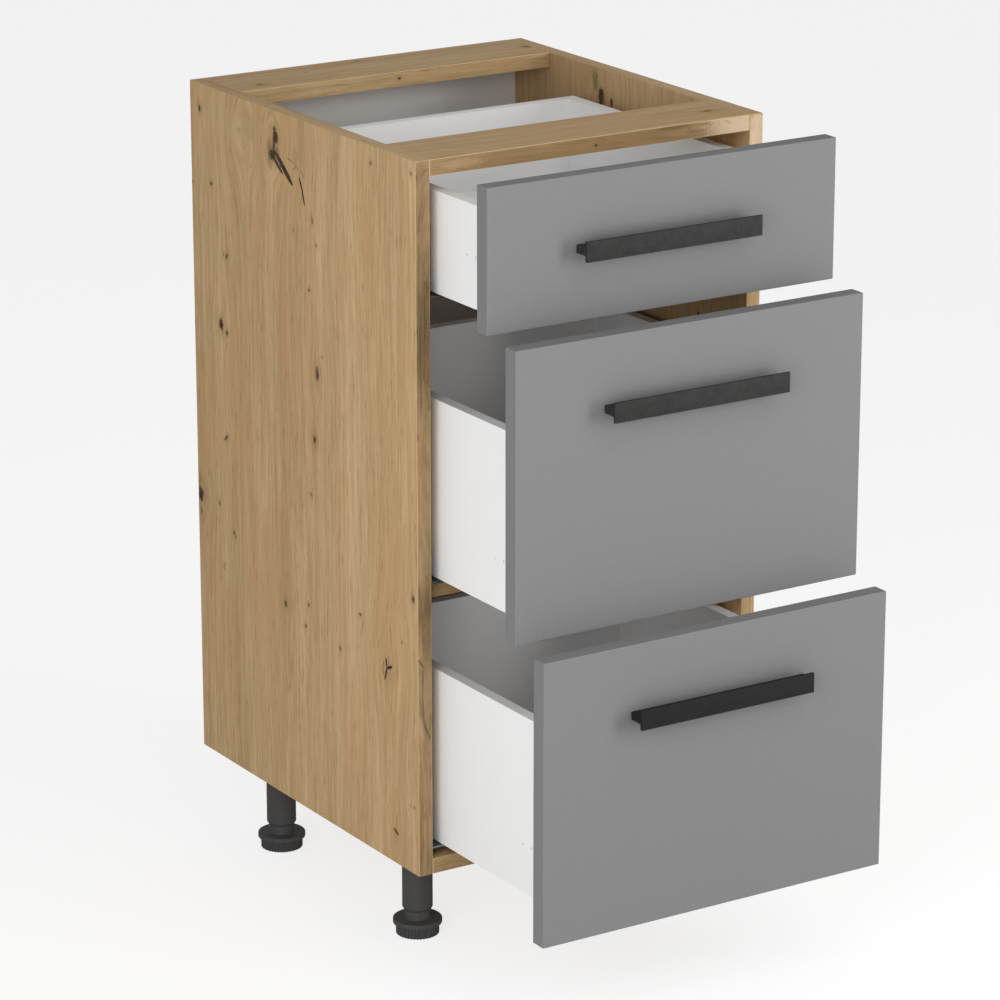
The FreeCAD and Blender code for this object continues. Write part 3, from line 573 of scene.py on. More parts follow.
def build_specks(w: Wiring, given: dict[str, Socket]) -> dict[str, Socket]:
    """Small knots scattered over a board: the middles of some of the cells of a stretched cell pattern.

    Args:
        w: The group's wiring.
        given: The group's inputs by name.

    Returns:
        The outputs by name.
    """
    place = w.point(w.scaled(given["Across"], 11.0), w.scaled(given["Along"], 7.0), given["Shift"])
    cells = w.node("ShaderNodeTexVoronoi", {"Vector": place, "Scale": 1.0}, voronoi_dimensions="2D")
    chance = w.split(cells.outputs["Color"])
    distance = w.scaled(given["Ragged"], 0.03, w.math("SUBTRACT", cells.outputs["Distance"], 0.015))
    size = w.scaled(chance[1], 0.035, 0.012)
    kept = w.ramp(chance[0], 0.45, 0.5)
    heart = w.math("MULTIPLY", w.ramp(w.math("DIVIDE", distance, size), HEART_OUT, HEART_IN), kept)
    stain = w.math("MULTIPLY", w.ramp(w.math("DIVIDE", distance, size), SPECK_STAIN_OUT, HEART_IN), kept)
    return more_marks(w, given, heart, stain)


def build_mottle(w: Wiring, given: dict[str, Socket]) -> dict[str, Socket]:
    """Mottling of a coated or moulded surface: clouds of a chosen size, and grit about a fifth of it.

    Args:
        w: The group's wiring.
        given: The group's inputs by name.

    Returns:
        The outputs by name.
    """
    fine = w.math("DIVIDE", 1.0, given["Size"])
    place = w.node("ShaderNodeVectorMath", {0: given["Point"], "Scale": fine}, operation="SCALE").outputs[0]
    return {"Clouds": w.noise(place, 1.0, 3.0, 0.6), "Grit": w.noise(place, 5.0, 2.0, 0.7)}


GRAIN = Effect("board_grain", (("Across", 0.0), ("Along", 0.0), ("Shift", 0.0)), ("Tone", "Warmth", "Pores"),
               build_grain)
PLACE = (("Across", 0.0), ("Along", 0.0), ("Ragged", 0.5))
KNOT = Effect("knot", (*PLACE, ("Middle across", 0.0), ("Middle along", 0.0), ("Half width", 0.002),
                       ("Half length", 0.002), ("Lean", 0.0), ("Depth", 1.0), ("Heart", 0.0),
                       ("Stain", 0.0), ("Bend", 0.0)), ("Heart", "Stain", "Bend"), build_knot)
CRACK = Effect("crack", (*PLACE, ("Start across", 0.0), ("Start along", 0.0), ("End across", 0.0),
                         ("End along", 0.1), ("Half width", 0.001), ("Depth", 1.0), ("Heart", 0.0)),
               ("Heart",), build_crack)
SPECKS = Effect("scattered_knots", (*PLACE, ("Shift", 0.0), ("Heart", 0.0), ("Stain", 0.0)),
                ("Heart", "Stain"), build_specks)
MOTTLE = Effect("mottle", (("Size", 0.01),), ("Clouds", "Grit"), build_mottle, takes_point=True)


# Finishes

@dataclass(frozen=True)
class Knot:
    """A knot of a board: its middle, half sizes in millimetres, lean and strength."""
    across: float
    along: float
    half_width: float
    half_length: float
    depth: float = 1.0
    lean: float = 0.0


@dataclass(frozen=True)
class Crack:
    """A crack of a board: its ends and half width in millimetres, and its strength."""
    start: tuple[float, float]
    end: tuple[float, float]
    half_width: float
    depth: float = 1.0


def new_material(name: str) -> tuple[bpy.types.Material, Wiring, bpy.types.Node]:
    """Starts a material.

    Args:
        name: The material's name.

    Returns:
        The material, the wiring of its nodes, and its Principled shader.
    """
    material = bpy.data.materials.new(name)
    material.use_nodes = True
    material.node_tree.nodes.clear()
    wiring = Wiring(material.node_tree)
    shader = wiring.node("ShaderNodeBsdfPrincipled")
    wiring.node("ShaderNodeOutputMaterial", {"Surface": shader.outputs[0]})
    return material, wiring, shader


def add_bump(w: Wiring, shader: bpy.types.Node, height: Socket, distance: float) -> None:
    """Gives a shader a relief of so many metres."""
    bump = w.node("ShaderNodeBump", {"Height": height, "Strength": 1.0, "Distance": distance})
    w.put(shader.inputs["Normal"], bump.outputs[0])


# Colours of the marks in the oak, the strength of the stain, and the depth of the pores in metres.
PALE_TONE: Colour = (0.80, 0.63, 0.45)
PORE_TONE: Colour = (0.16, 0.09, 0.035)
STAIN_TONE: Colour = (0.26, 0.145, 0.055)
PITH_TONES = ((0.014, 0.010, 0.007), (0.085, 0.050, 0.022))
STAIN_SHARE = 0.34
OAK_RELIEF = 0.00006


@dataclass(frozen=True)
class OakFinish:
    """Knotty oak decor of one face: its tones, where its pattern is taken from, its knots and cracks."""
    name: str
    shift: float
    light: Colour = (0.660, 0.470, 0.258)
    dark: Colour = (0.445, 0.285, 0.132)
    warm: Colour = (0.530, 0.305, 0.130)
    warmth: float = 0.50
    pore_depth: float = 0.30
    # arris is the share of a painted highlight on the eased arrises, and its tone is the colour they are
    # lightened towards.
    arris: float = 0.35
    arris_highlight_tone: Colour = (0.66, 0.47, 0.27)
    knots: tuple[Knot, ...] = ()
    cracks: tuple[Crack, ...] = ()
    pales: tuple[Knot, ...] = ()
    specks: bool = False

    def material(self) -> bpy.types.Material:
        """Builds the finish: grain that parts round the knots, stains, hearts, cracks and a painted
        highlight on the arris.

        Returns:
            The material.
        """
        material, w, shader = new_material(self.name)
        place = w.node("ShaderNodeUVMap", uv_map=GRAIN_MAP).outputs[0]
        across, along, _ = w.split(place)
        where = w.point(across, along, self.shift)
        coarse = w.math("MULTIPLY", w.noise(where, 130.0), 0.4)
        ragged = w.scaled(w.noise(where, 480.0, 2.0, 0.65), 0.6, coarse)
        heart, stain, bend = self._marks(w, across, along, ragged)
        grain = w.effect(GRAIN, Across=w.math("ADD", across, bend), Along=along, Shift=self.shift)
        colour = w.blend(grain["Tone"], self.dark, self.light)
        colour = w.blend(w.math("MULTIPLY", grain["Warmth"], self.warmth), colour, self.warm)
        pores = w.math("MULTIPLY", grain["Pores"], w.scaled(stain, 0.8, self.pore_depth), clamp=True)
        for pale in self.pales:
            patch = self._chain(w, (pale,), {"Across": across, "Along": along, "Ragged": ragged})["Heart"]
            colour = w.blend(patch, colour, PALE_TONE)
        colour = w.blend(pores, colour, PORE_TONE)
        colour = w.blend(w.math("MULTIPLY", stain, STAIN_SHARE), colour, STAIN_TONE)
        pith = w.blend(w.ramp(ragged, 0.42, 0.60), *PITH_TONES)
        colour = w.blend(heart, colour, pith)
        # Painted highlight: the eased arris is lightened towards a paler tone, standing in for the light it
        # catches.
        edge = w.node("ShaderNodeAttribute", attribute_name=ARRIS).outputs["Fac"]
        colour = w.blend(w.math("MULTIPLY", edge, self.arris), colour, self.arris_highlight_tone)
        w.put(shader.inputs["Base Color"], colour)
        w.put(shader.inputs["Roughness"], w.scaled(grain["Tone"], -0.10, 0.62))
        add_bump(w, shader, DASHES.placed(w, across, along, self.shift), OAK_RELIEF)
        shader.inputs["Specular IOR Level"].default_value = 0.3
        return material

    def _marks(self, w: Wiring, across: Socket, along: Socket, ragged: Socket) -> tuple:
        """Chains the knots and cracks, each adding to those before it.

        Args:
            w: The material's wiring.
            across: Distance across the grain.
            along: Distance along the grain.
            ragged: Noise that roughens the outlines.

        Returns:
            The hearts, the stains and the bend of the grain.
        """
        common = {"Across": across, "Along": along, "Ragged": ragged}
        found = self._chain(w, self.knots, common)
        for c in self.cracks:
            found.update(w.effect(CRACK, **common, Start_across=c.start[0] * MM, Start_along=c.start[1] * MM,
                                  End_across=c.end[0] * MM, End_along=c.end[1] * MM,
                                  Half_width=c.half_width * MM, Depth=c.depth, Heart=found["Heart"]))
        if self.specks:
            found.update(w.effect(SPECKS, **common, Shift=self.shift, Heart=found["Heart"],
                                  Stain=found["Stain"]))
        return found["Heart"], found["Stain"], found["Bend"]

    @staticmethod
    def _chain(w: Wiring, knots: tuple[Knot, ...], common: dict[str, Socket]) -> dict[str, Value]:
        """Places one knot after another.

        Args:
            w: The material's wiring.
            knots: The knots.
            common: The inputs that all of them share.

        Returns:
            The last one's outputs.
        """
        found = {"Heart": 0.0, "Stain": 0.0, "Bend": 0.0}
        for k in knots:
            found.update(w.effect(KNOT, **common, Middle_across=k.across * MM, Middle_along=k.along * MM,
                                  Half_width=k.half_width * MM, Half_length=k.half_length * MM,
                                  Lean=k.lean, Depth=k.depth, **found))
        return found


# How much lighter the painted highlight on an eased arris is than its coat.
ARRIS_HIGHLIGHT_LIFT = 1.5


@dataclass(frozen=True)
class PlainFinish:
    """A plain coat: a colour that clouds over a little, with fine grit in its gloss and its relief, and an
    optional painted highlight on its arrises.
    """
    name: str
    colour: Colour
    cloud_size: float
    cloudiness: float
    roughness: float
    roughness_spread: float
    relief: float
    metallic: float = 0.0
    specular: float = 0.5
    # Share of a painted highlight on the eased arrises.
    painted_arris_highlight: float = 0.0

    def material(self) -> bpy.types.Material:
        """Builds the finish from the shared mottle.

        Returns:
            The material.
        """
        material, w, shader = new_material(self.name)
        mottle = w.effect(MOTTLE, Point=w.object_point(), Size=self.cloud_size)
        low = tuple(channel * (1 - self.cloudiness) for channel in self.colour)
        high = tuple(min(channel * (1 + self.cloudiness), 1.0) for channel in self.colour)
        blend = w.scaled(mottle["Clouds"], 0.6, w.math("MULTIPLY", mottle["Grit"], 0.4))
        colour = w.blend(w.ramp(blend, 0.3, 0.7), low, high)
        # Painted highlight: the eased arrises are lightened towards a paler copy of the coat.
        if self.painted_arris_highlight:
            edge = w.node("ShaderNodeAttribute", attribute_name=ARRIS).outputs["Fac"]
            highlight_tone = tuple(min(channel * ARRIS_HIGHLIGHT_LIFT, 1.0) for channel in self.colour)
            colour = w.blend(w.math("MULTIPLY", edge, self.painted_arris_highlight), colour, highlight_tone)
        w.put(shader.inputs["Base Color"], colour)
        w.put(shader.inputs["Roughness"], w.scaled(mottle["Clouds"], self.roughness_spread,
                                                   self.roughness - self.roughness_spread / 2))
        add_bump(w, shader, mottle["Grit"], self.relief)
        shader.inputs["Metallic"].default_value = self.metallic
        shader.inputs["Specular IOR Level"].default_value = self.specular
        return material


# Depth of the raw face in metres.
COAT = 0.0004


@dataclass(frozen=True)
class FacedBoardFinish:
    """Thin fibreboard with one white face; the other face is raw and brown."""
    name: str
    axis: Axis
    raw_side: int
    raw_level: float

    def material(self) -> bpy.types.Material:
        """Builds the finish: raw fibre past the given level along the axis, a white coat elsewhere.

        Returns:
            The material.
        """
        material, w, shader = new_material(self.name)
        place = w.object_point()
        mottle = w.effect(MOTTLE, Point=place, Size=0.006)
        level = w.split(place)[self.axis.value]
        soft = self.raw_side * COAT / 2
        raw = w.ramp(level, self.raw_level - soft, self.raw_level + soft)
        fibre = w.blend(w.ramp(mottle["Grit"], 0.35, 0.65), (0.19, 0.115, 0.062), (0.33, 0.215, 0.125))
        white = w.blend(mottle["Clouds"], (0.89, 0.89, 0.885), (0.92, 0.92, 0.915))
        w.put(shader.inputs["Base Color"], w.blend(raw, white, fibre))
        w.put(shader.inputs["Roughness"], w.scaled(raw, 0.3, w.scaled(mottle["Clouds"], 0.1, 0.42)))
        add_bump(w, shader, w.math("MULTIPLY", mottle["Grit"], w.scaled(raw, 0.8, 0.2)), 0.00008)
        return material


@dataclass(frozen=True)
class ZincFinish:
    """Zinc-plated steel sheet: faint spangle and fine lines drawn along the rail."""
    name: str = "zinc_plate"

    def material(self) -> bpy.types.Material:
        """Builds the finish: cells of slightly different grey, and drawn lines in the gloss.

        Returns:
            The material.
        """
        material, w, shader = new_material(self.name)
        place = w.object_point()
        x, y, z = w.split(place)
        cells = w.node("ShaderNodeTexVoronoi", {"Vector": place, "Scale": 180.0})
        spangle = w.split(cells.outputs["Color"])[0]
        lines = w.noise(w.point(w.scaled(x, 1400.0), w.scaled(y, 22.0), w.scaled(z, 1400.0)), 1.0, 2.0)
        w.put(shader.inputs["Base Color"], w.blend(spangle, (0.30, 0.305, 0.32), (0.38, 0.385, 0.40)))
        w.put(shader.inputs["Roughness"], w.scaled(lines, 0.22, w.scaled(spangle, 0.08, 0.30)))
        add_bump(w, shader, lines, 0.00003)
        shader.inputs["Metallic"].default_value = 1.0
        return material


SIDE_KNOTS = (
    Knot(265, 793, 6.2, 8.0), Knot(266.5, 800, 3.4, 5, 0.85), Knot(268, 784, 3.4, 9, 0.9),
    Knot(271, 775, 7.2, 7.6), Knot(277, 773, 3.8, 8, 0.6), Knot(262, 777, 6, 9, 0.55),
    Knot(226, 782, 8, 10, 0.10), Knot(321, 794, 15, 19, 0.13), Knot(330, 776, 7, 10, 0.10),
    Knot(420, 794, 2.4, 4.2, 0.9), Knot(399, 720, 2.2, 2.6, 0.9), Knot(438.5, 714, 1.6, 1.8, 0.8),
    Knot(81, 803, 2.6, 3, 0.5), Knot(7.5, 807, 1.8, 2.5, 0.7), Knot(194, 723, 1.8, 3.4, 0.6),
    Knot(231, 706, 3.4, 3, 0.25), Knot(187, 700, 1.6, 1.8, 0.85), Knot(369, 650, 2.8, 4, 0.8, 0.4),
    Knot(376, 651, 1.6, 3, 0.5), Knot(202, 652, 1.8, 2.2, 0.8), Knot(384, 576.5, 4.4, 7.5),
    Knot(371.5, 569.5, 2.6, 3.6, 0.9), Knot(188, 570, 4.0, 8.5, 0.85), Knot(195, 500, 3.2, 4.8),
    Knot(434, 381.5, 6.4, 9), Knot(434, 363, 3.4, 4.4, 0.5), Knot(435, 398, 3, 9, 0.25),
    Knot(441, 566, 3, 4, 0.8), Knot(442, 333, 2.4, 3, 0.8),
    Knot(377, 456, 3.0, 4.0, 0.8, 0.8), Knot(178, 589, 1.6, 1.8, 0.6), Knot(394, 381, 1.8, 3.4, 0.8),
    Knot(364, 357, 2.2, 2.8, 0.9), Knot(361, 354, 1.4, 2, 0.7), Knot(387, 314.5, 2.4, 5, 0.4),
    Knot(202.5, 441, 2, 2.4, 0.6), Knot(200, 448, 2.4, 2.4, 0.25),
    Knot(258, 310, 3.6, 4.4, 0.75), Knot(211, 322, 1.6, 2.4, 0.9), Knot(217, 298, 1.8, 2.8, 0.9),
    Knot(149, 294.5, 2.2, 2.8, 0.7), Knot(109, 341.5, 2.2, 1.8, 0.9), Knot(8, 386, 3, 5, 0.85),
    Knot(30, 336, 1.6, 1.6, 0.6), Knot(55.5, 301, 9.5, 14, 0.16), Knot(43.5, 130, 5, 11, 0.20),
    Knot(15, 170, 1.4, 1.4, 0.5), Knot(8, 170, 1.8, 2, 0.55),
)
SIDE_CRACKS = (
    Crack((270, 773), (251, 759), 1.9), Crack((266, 779), (231.5, 751), 3.2),
    Crack((218, 762), (213.6, 750), 1.3), Crack((214, 753), (208.5, 735), 1.2),
    Crack((243, 777), (229, 774.5), 0.6, 0.45), Crack((229.5, 775), (220, 768.5), 0.6, 0.45),
    Crack((232.5, 767), (223, 771.5), 0.6, 0.40), Crack((215, 769.5), (209.5, 763), 0.6, 0.45),
    Crack((60.6, 311), (58, 300), 1.3), Crack((58, 302), (63, 287), 1.3),
    Crack((58, 300.5), (48.5, 305), 1.5),
    Crack((64, 306), (67, 298.5), 0.7, 0.5), Crack((67, 299), (65, 292), 0.7, 0.5),
    Crack((48, 135.6), (38.4, 131.5), 1.5, 0.95),
)
TOP_KNOTS = (
    Knot(36, 158, 3.2, 8, 0.75), Knot(381, -152, 3, 5, 0.7), Knot(429, -9, 2, 3, 0.6),
    Knot(408, -83, 1.6, 2.4, 0.7), Knot(398, 180, 4, 7, 0.7),
)
RAIL_EDGE_KNOTS = (Knot(811, 3, 1.5, 2.2, 0.8), Knot(818, 97, 3, 22, 0.35), Knot(811, 120, 2, 14, 0.3))
BACK_EDGE_KNOTS = (Knot(812.8, 0.5, 1.6, 2.0, 0.85),)
RIGHT_INNER_KNOTS = (Knot(262, 790, 6, 11, 0.95), Knot(243, 787, 3, 5, 0.8), Knot(273, 805, 6, 12, 0.5))
RIGHT_EDGE_PALES = (Knot(192, 800, 12, 30, 0.45), Knot(196, 740, 8, 30, 0.30))
RAIL_EDGE_PALES = (Knot(812, 173, 40, 44, 0.42), Knot(812, 178, 40, 30, 0.20),
                   Knot(812, -150, 6, 30, 0.15))
SIDE_EDGE_KNOTS = (
    Knot(-192, 655, 22, 78, 0.30), Knot(-190, 702, 14, 40, 0.18), Knot(-196, 620, 5, 50, 0.20),
    Knot(-194, 378, 12, 26, 0.22), Knot(-187, 340, 6, 30, 0.15),
)
SIDE_EDGE_CRACKS = (Crack((-200, 327), (-194, 318), 0.6, 0.6), Crack((-194, 320), (-195, 288), 0.5, 0.5),
                    Crack((-195, 290), (-193, 256), 0.5, 0.5), Crack((-193, 258), (-186, 242), 0.6, 0.6),
                    Crack((-190, 690), (-191, 640), 0.8, 0.6), Crack((-196, 660), (-195, 600), 0.7, 0.6))

LEFT_SIDE = OakFinish("oak_left_side", 1.7, light=(0.690, 0.495, 0.272), dark=(0.430, 0.272, 0.122),
                      pore_depth=0.42, knots=SIDE_KNOTS, cracks=SIDE_CRACKS)
RIGHT_SIDE = OakFinish("oak_right_side", 4.1, knots=RIGHT_INNER_KNOTS, specks=True)
SIDE_EDGE = OakFinish("oak_side_edge", 7.3, light=(0.560, 0.390, 0.205), dark=(0.200, 0.120, 0.050),
                      warm=(0.380, 0.228, 0.098), pore_depth=0.6, knots=SIDE_EDGE_KNOTS,
                      cracks=SIDE_EDGE_CRACKS)
RIGHT_EDGE = OakFinish("oak_right_edge", 21.4, light=(0.660, 0.470, 0.258), dark=(0.330, 0.210, 0.095),
                       warm=(0.500, 0.310, 0.138), pore_depth=0.4, pales=RIGHT_EDGE_PALES)
# The top strips get a strong painted highlight on their eased arrises.
TOP_STRIPS = OakFinish("oak_top_strips", 9.6, arris=0.9, arris_highlight_tone=(0.80, 0.61, 0.37), knots=TOP_KNOTS)
STRIP_EDGE = OakFinish("oak_strip_edge", 12.2, light=(0.500, 0.340, 0.165), dark=(0.265, 0.162, 0.068),
                       warm=(0.400, 0.235, 0.096), pore_depth=0.5, knots=RAIL_EDGE_KNOTS,
                       pales=RAIL_EDGE_PALES)
BACK_EDGE = OakFinish("oak_back_strip_edge", 18.8, light=(0.640, 0.450, 0.230), dark=(0.400, 0.262, 0.120),
                      warm=(0.520, 0.320, 0.140), pore_depth=0.5, knots=BACK_EDGE_KNOTS)
INNER_BOARDS = OakFinish("oak_inner_boards", 15.9, specks=True)

# The grey fronts get a faint painted highlight on their eased arrises.
GREY_COAT = PlainFinish("grey_front_coat", (0.200, 0.200, 0.201), 0.0035, 0.03, 0.62, 0.06, 0.00002,
                        specular=0.3, painted_arris_highlight=0.25)
WHITE_COAT = PlainFinish("white_board_coat", (0.90, 0.90, 0.898), 0.02, 0.008, 0.48, 0.06, 0.00001,
                         specular=0.2)
HANDLE_COAT = PlainFinish("handle_coat", (0.029, 0.029, 0.028), 0.0070, 0.26, 0.58, 0.16, 0.00002,
                          specular=0.15)
# Painted shade: the bottom drawer's handle is a darker copy of the same handle coat, standing in for the
# weaker light it gets.
BOTTOM_HANDLE_SHADED_COAT = PlainFinish("bottom_handle_shaded_coat", (0.0155, 0.0155, 0.0150), 0.0070, 0.12, 0.60, 0.10, 0.00002,
                              specular=0.12)
LEG_PLASTIC = PlainFinish("leg_plastic", (0.068, 0.067, 0.067), 0.0035, 0.12, 0.55, 0.14, 0.00004,
                          specular=0.25)
CAGE_PLASTIC = PlainFinish("cage_plastic", (0.72, 0.71, 0.67), 0.004, 0.05, 0.42, 0.1, 0.00003)
BEECH = PlainFinish("beech_dowel", (0.56, 0.40, 0.24), 0.003, 0.16, 0.6, 0.1, 0.00008)


# Pieces

def settle(piece: bpy.types.Object, body: str, node: str) -> None:
    """Tells the frame about a new piece.

    Args:
        piece: The piece.
        body: The body it rides on.
        node: The CAD node it stands for.
    """
    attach(piece, body)
    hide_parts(node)
    LOG.info("%s on %s, %d faces", piece.name, body, len(piece.data.polygons))


def turn_out(piece: bpy.types.Object, finish: bpy.types.Material, body: str, node: str) -> None:
    """Marks the sharp edges of a new piece, finishes it and tells the frame about it.

    Args:
        piece: The piece.
        finish: Its finish.
        body: The body it rides on.
        node: The CAD node it stands for.
    """
    piece.data.set_sharp_from_angle(angle=SHARP_ANGLE)
    piece.data.materials.append(finish)
    settle(piece, body, node)


def dress(node: str, material: bpy.types.Material) -> None:
    """Gives a CAD node that keeps its shape a finish.

    Args:
        node: The CAD node.
        material: Its finish.
    """
    for material_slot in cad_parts[node].material_slots:
        material_slot.material = material
    LOG.info("%s finished as %s", node, material.name)


# Metres between the patterns of a board's sides, the least part of a flat face's normal along its axis,
# and the slant of an arris at its middle.
ASIDE = 1.37
FLAT = 0.999
ARRIS_SLANT = 1 - math.sqrt(0.5)


@dataclass(frozen=True)
class Board:
    """A board with eased arrises that stands for a CAD node."""
    node: str
    name: str
    body: str
    slot: str
    grain: Axis
    best: Facing
    radius: float = 0.0007
    steps: int = 3

    def build(self, face: bpy.types.Material, band: bpy.types.Material | None = None) -> None:
        """Makes the board.

        Args:
            face: The finish of its faces and arrises.
            band: The finish of its front edge, if that differs.
        """
        low, high = (np.array(corner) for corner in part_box(self.node))
        surface = rounded_box_points(low, high, self.radius, self.grain, self.steps)
        piece = surface_object(self.name, *surface)
        mesh = piece.data
        mesh.materials.append(face)
        if band:
            mesh.materials.append(band)
        self._shade(mesh, low + self.radius, high - self.radius)
        self._map_grain(mesh, high - low)
        settle(piece, self.body, self.node)

    def _shade(self, mesh: bpy.types.Mesh, inner_low: np.ndarray, inner_high: np.ndarray) -> None:
        """Sets each point's normal, away from the nearest point of the inner box, and marks the arrises.

        Args:
            mesh: The board's mesh.
            inner_low: Lowest corner of the box that the arrises are rounded about.
            inner_high: Highest corner of that box.
        """
        points = mesh_points(mesh)
        away = points - np.clip(points, inner_low, inner_high)
        away /= np.linalg.norm(away, axis=1, keepdims=True)
        mesh.normals_split_custom_set_from_vertices(away.tolist())
        slant = (1 - np.abs(away).max(axis=1)) / ARRIS_SLANT
        layer = mesh.attributes.new(ARRIS, "FLOAT", "POINT")
        layer.data.foreach_set("value", np.clip(slant, 0, 1).astype(np.float32))

    def _map_grain(self, mesh: bpy.types.Mesh, size: np.ndarray) -> None:
        """Maps each face in metres, across and along the grain, and gives the front band its finish.

        A face whose plane holds the grain's direction is mapped along it, and an end face along its
        longer side. The best side is mapped from the cabinet's middle, front edge and floor. The other
        sides are mapped from elsewhere, so that they don't repeat its knots.

        Args:
            mesh: The board's mesh.
            size: The board's three sizes.
        """
        count = len(mesh.polygons)
        normals, totals = np.empty(count * 3), np.empty(count, dtype=np.int32)
        mesh.polygons.foreach_get("normal", normals)
        mesh.polygons.foreach_get("loop_total", totals)
        normals = normals.reshape(-1, 3)
        facing = np.abs(normals).argmax(axis=1)
        sign = np.sign(np.take_along_axis(normals, facing[:, None], axis=1)[:, 0])
        along_of = np.array([self._along(axis, size) for axis in range(3)])
        along, across = along_of[facing], 3 - facing - along_of[facing]
        away = ASIDE * (1 + 2 * facing + (sign > 0))
        away[(facing == self.best.value[0].value) & (sign == self.best.value[1])] = 0
        if len(mesh.materials) > 1:
            axis, way = Facing.FRONT.value
            band = (facing == axis.value) & (sign == way) & (np.abs(normals).max(axis=1) > FLAT)
            away[band] = 0
            mesh.polygons.foreach_set("material_index", band.astype(np.int32))
        corners = np.empty(len(mesh.loops), dtype=np.int32)
        mesh.loops.foreach_get("vertex_index", corners)
        places = (mesh_points(mesh) - np.array([0, CARCASS_FRONT, 0]))[corners]
        rows = np.arange(len(corners))
        u = places[rows, np.repeat(across, totals)] + np.repeat(away, totals)
        v = places[rows, np.repeat(along, totals)] + np.repeat(away, totals)
        layer = mesh.uv_layers.new(name=GRAIN_MAP)
        layer.uv.foreach_set("vector", np.stack([u, v], axis=1).ravel().astype(np.float32))

    def _along(self, axis: int, size: np.ndarray) -> int:
        """The axis that the pattern runs along on a face.

        Args:
            axis: The axis that the face looks along.
            size: The board's three sizes.

        Returns:
            The index of the axis.
        """
        if axis != self.grain.value:
            return self.grain.value
        first, second = (axis + 1) % 3, (axis + 2) % 3
        return first if size[first] > size[second] else second


@dataclass
class Leg:
    """A levelling leg: the tube with its flange, screwed to the bottom, and the foot that turns in it.

    Sizes are in metres and the heights above the floor. The foot's grip has flutes all round.
    """
    name: str
    tube_radius: float = 0.0155
    tube_end: float = 0.026
    chamfer: float = 0.003
    taper: float = 0.00165
    bore: float = 0.0131
    bore_top: float = 0.080
    cone_low: float = 0.086
    collar_radius: float = 0.021
    collar_low: float = 0.092
    flange_radius: float = 0.028
    flange_low: float = 0.096
    top: float = 0.100
    base_radius: float = 0.022
    base_height: float = 0.011
    disc_radius: float = 0.025
    disc_top: float = 0.0165
    neck_radius: float = 0.013
    stem_top: float = 0.065
    flutes: int = 40
    flute_radius: float = 0.00110
    flute_top: float = 0.0104
    flute_end: float = 0.0003
    edge: float = 0.0004
    columns: int = 96

    def middle(self) -> np.ndarray:
        """The leg's axis on the floor, from its foot's box."""
        low, high = (np.array(corner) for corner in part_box(f"foot_{self.name}"))
        return np.array([*(low + high)[:2] / 2, 0.0])

    def build(self, plastic: bpy.types.Material) -> None:
        """Makes the tube and the foot.

        Args:
            plastic: Their finish.
        """
        leg = self.name
        self._piece(f"leg_tube_{leg}", self._tube(), "carcass", f"leg_body_{leg}", plastic)
        self._piece(f"screw_foot_{leg}", self._foot(), f"{leg}_foot", f"foot_{leg}", plastic)

    def _piece(self, name: str, surface: Surface, body: str, node: str, plastic: bpy.types.Material) -> None:
        """Puts a turned surface on the leg's axis and finishes it.

        Args:
            name: The piece's name.
            surface: Its points and faces about the Z axis.
            body: The body it rides on.
            node: The CAD node it stands for.
            plastic: Its finish.
        """
        points, faces = surface
        turn_out(surface_object(name, points + self.middle(), faces), plastic, body, node)

    def _tube(self) -> Surface:
        """The tube: a closed outline of radius and height, its corners eased, carried round the axis.

        Returns:
            The points and the faces.
        """
        corners = np.array([
            (0, self.bore_top), (self.bore, self.bore_top), (self.bore, self.tube_end),
            (self.tube_radius - self.taper, self.tube_end),
            (self.tube_radius, self.tube_end + self.chamfer),
            (self.tube_radius, self.cone_low), (self.collar_radius, self.collar_low),
            (self.collar_radius, self.flange_low), (self.flange_radius, self.flange_low),
            (self.flange_radius, self.top), (0, self.top)])
        radii = np.array([0, 0, 0.0003, 0.0006, 0.0012, 0.0025, 0.0008, 0.0006, 0.0008, 0.0003, 0])
        angles = np.linspace(0, 2 * np.pi, self.columns, endpoint=False)
        return turned_points(filleted(corners, radii, 5, closed=False), angles)

    def _flute(self, angle: np.ndarray, height: np.ndarray) -> np.ndarray:
        """Depth of the flutes.

        They are round scallops with the half width f, of depth sqrt(f f - s s) at the arc distance s
        from the nearest one's middle. They run out through the bottom and end below the disc.

        Args:
            angle: Angles round the axis.
            height: Heights above the floor.

        Returns:
            The depth at each angle and height.
        """
        pitch = 2 * np.pi / self.flutes
        distance = self.base_radius * (np.mod(angle + pitch / 2, pitch) - pitch / 2)
        depth = np.sqrt(np.maximum(self.flute_radius ** 2 - distance ** 2, 0))
        return depth * np.clip((self.flute_top + self.flute_end - height) / self.flute_end, 0, 1)

    def _foot(self) -> Surface:
        """The foot: fluted grip, rounded disc and stem, with seven columns across each flute.

        Returns:
            The points and the faces.
        """
        grip = np.array([
            (0, 0), (self.base_radius - self.edge, 0), (self.base_radius, self.edge),
            (self.base_radius, self.flute_top), (self.base_radius, self.flute_top + self.flute_end)])
        corners = np.array([
            (self.base_radius, self.base_height - 0.0001), (self.base_radius, self.base_height),
            (self.disc_radius, self.base_height), (self.disc_radius, self.disc_top),
            (self.neck_radius, self.disc_top), (self.neck_radius, self.stem_top), (0, self.stem_top)])
        radii = np.array([0, 0, 0.0010, 0.0012, 0.0008, 0.0010, 0])
        profile = np.concatenate([grip, filleted(corners, radii, 5, closed=False)])
        pitch = 2 * np.pi / self.flutes
        half = self.flute_radius / self.base_radius
        inside = half * np.array([-1, -0.8, -0.4, 0, 0.4, 0.8, 1])
        angles = (np.arange(self.flutes)[:, None] * pitch + inside[None, :]).ravel()
        return turned_points(profile, angles, self._flute)


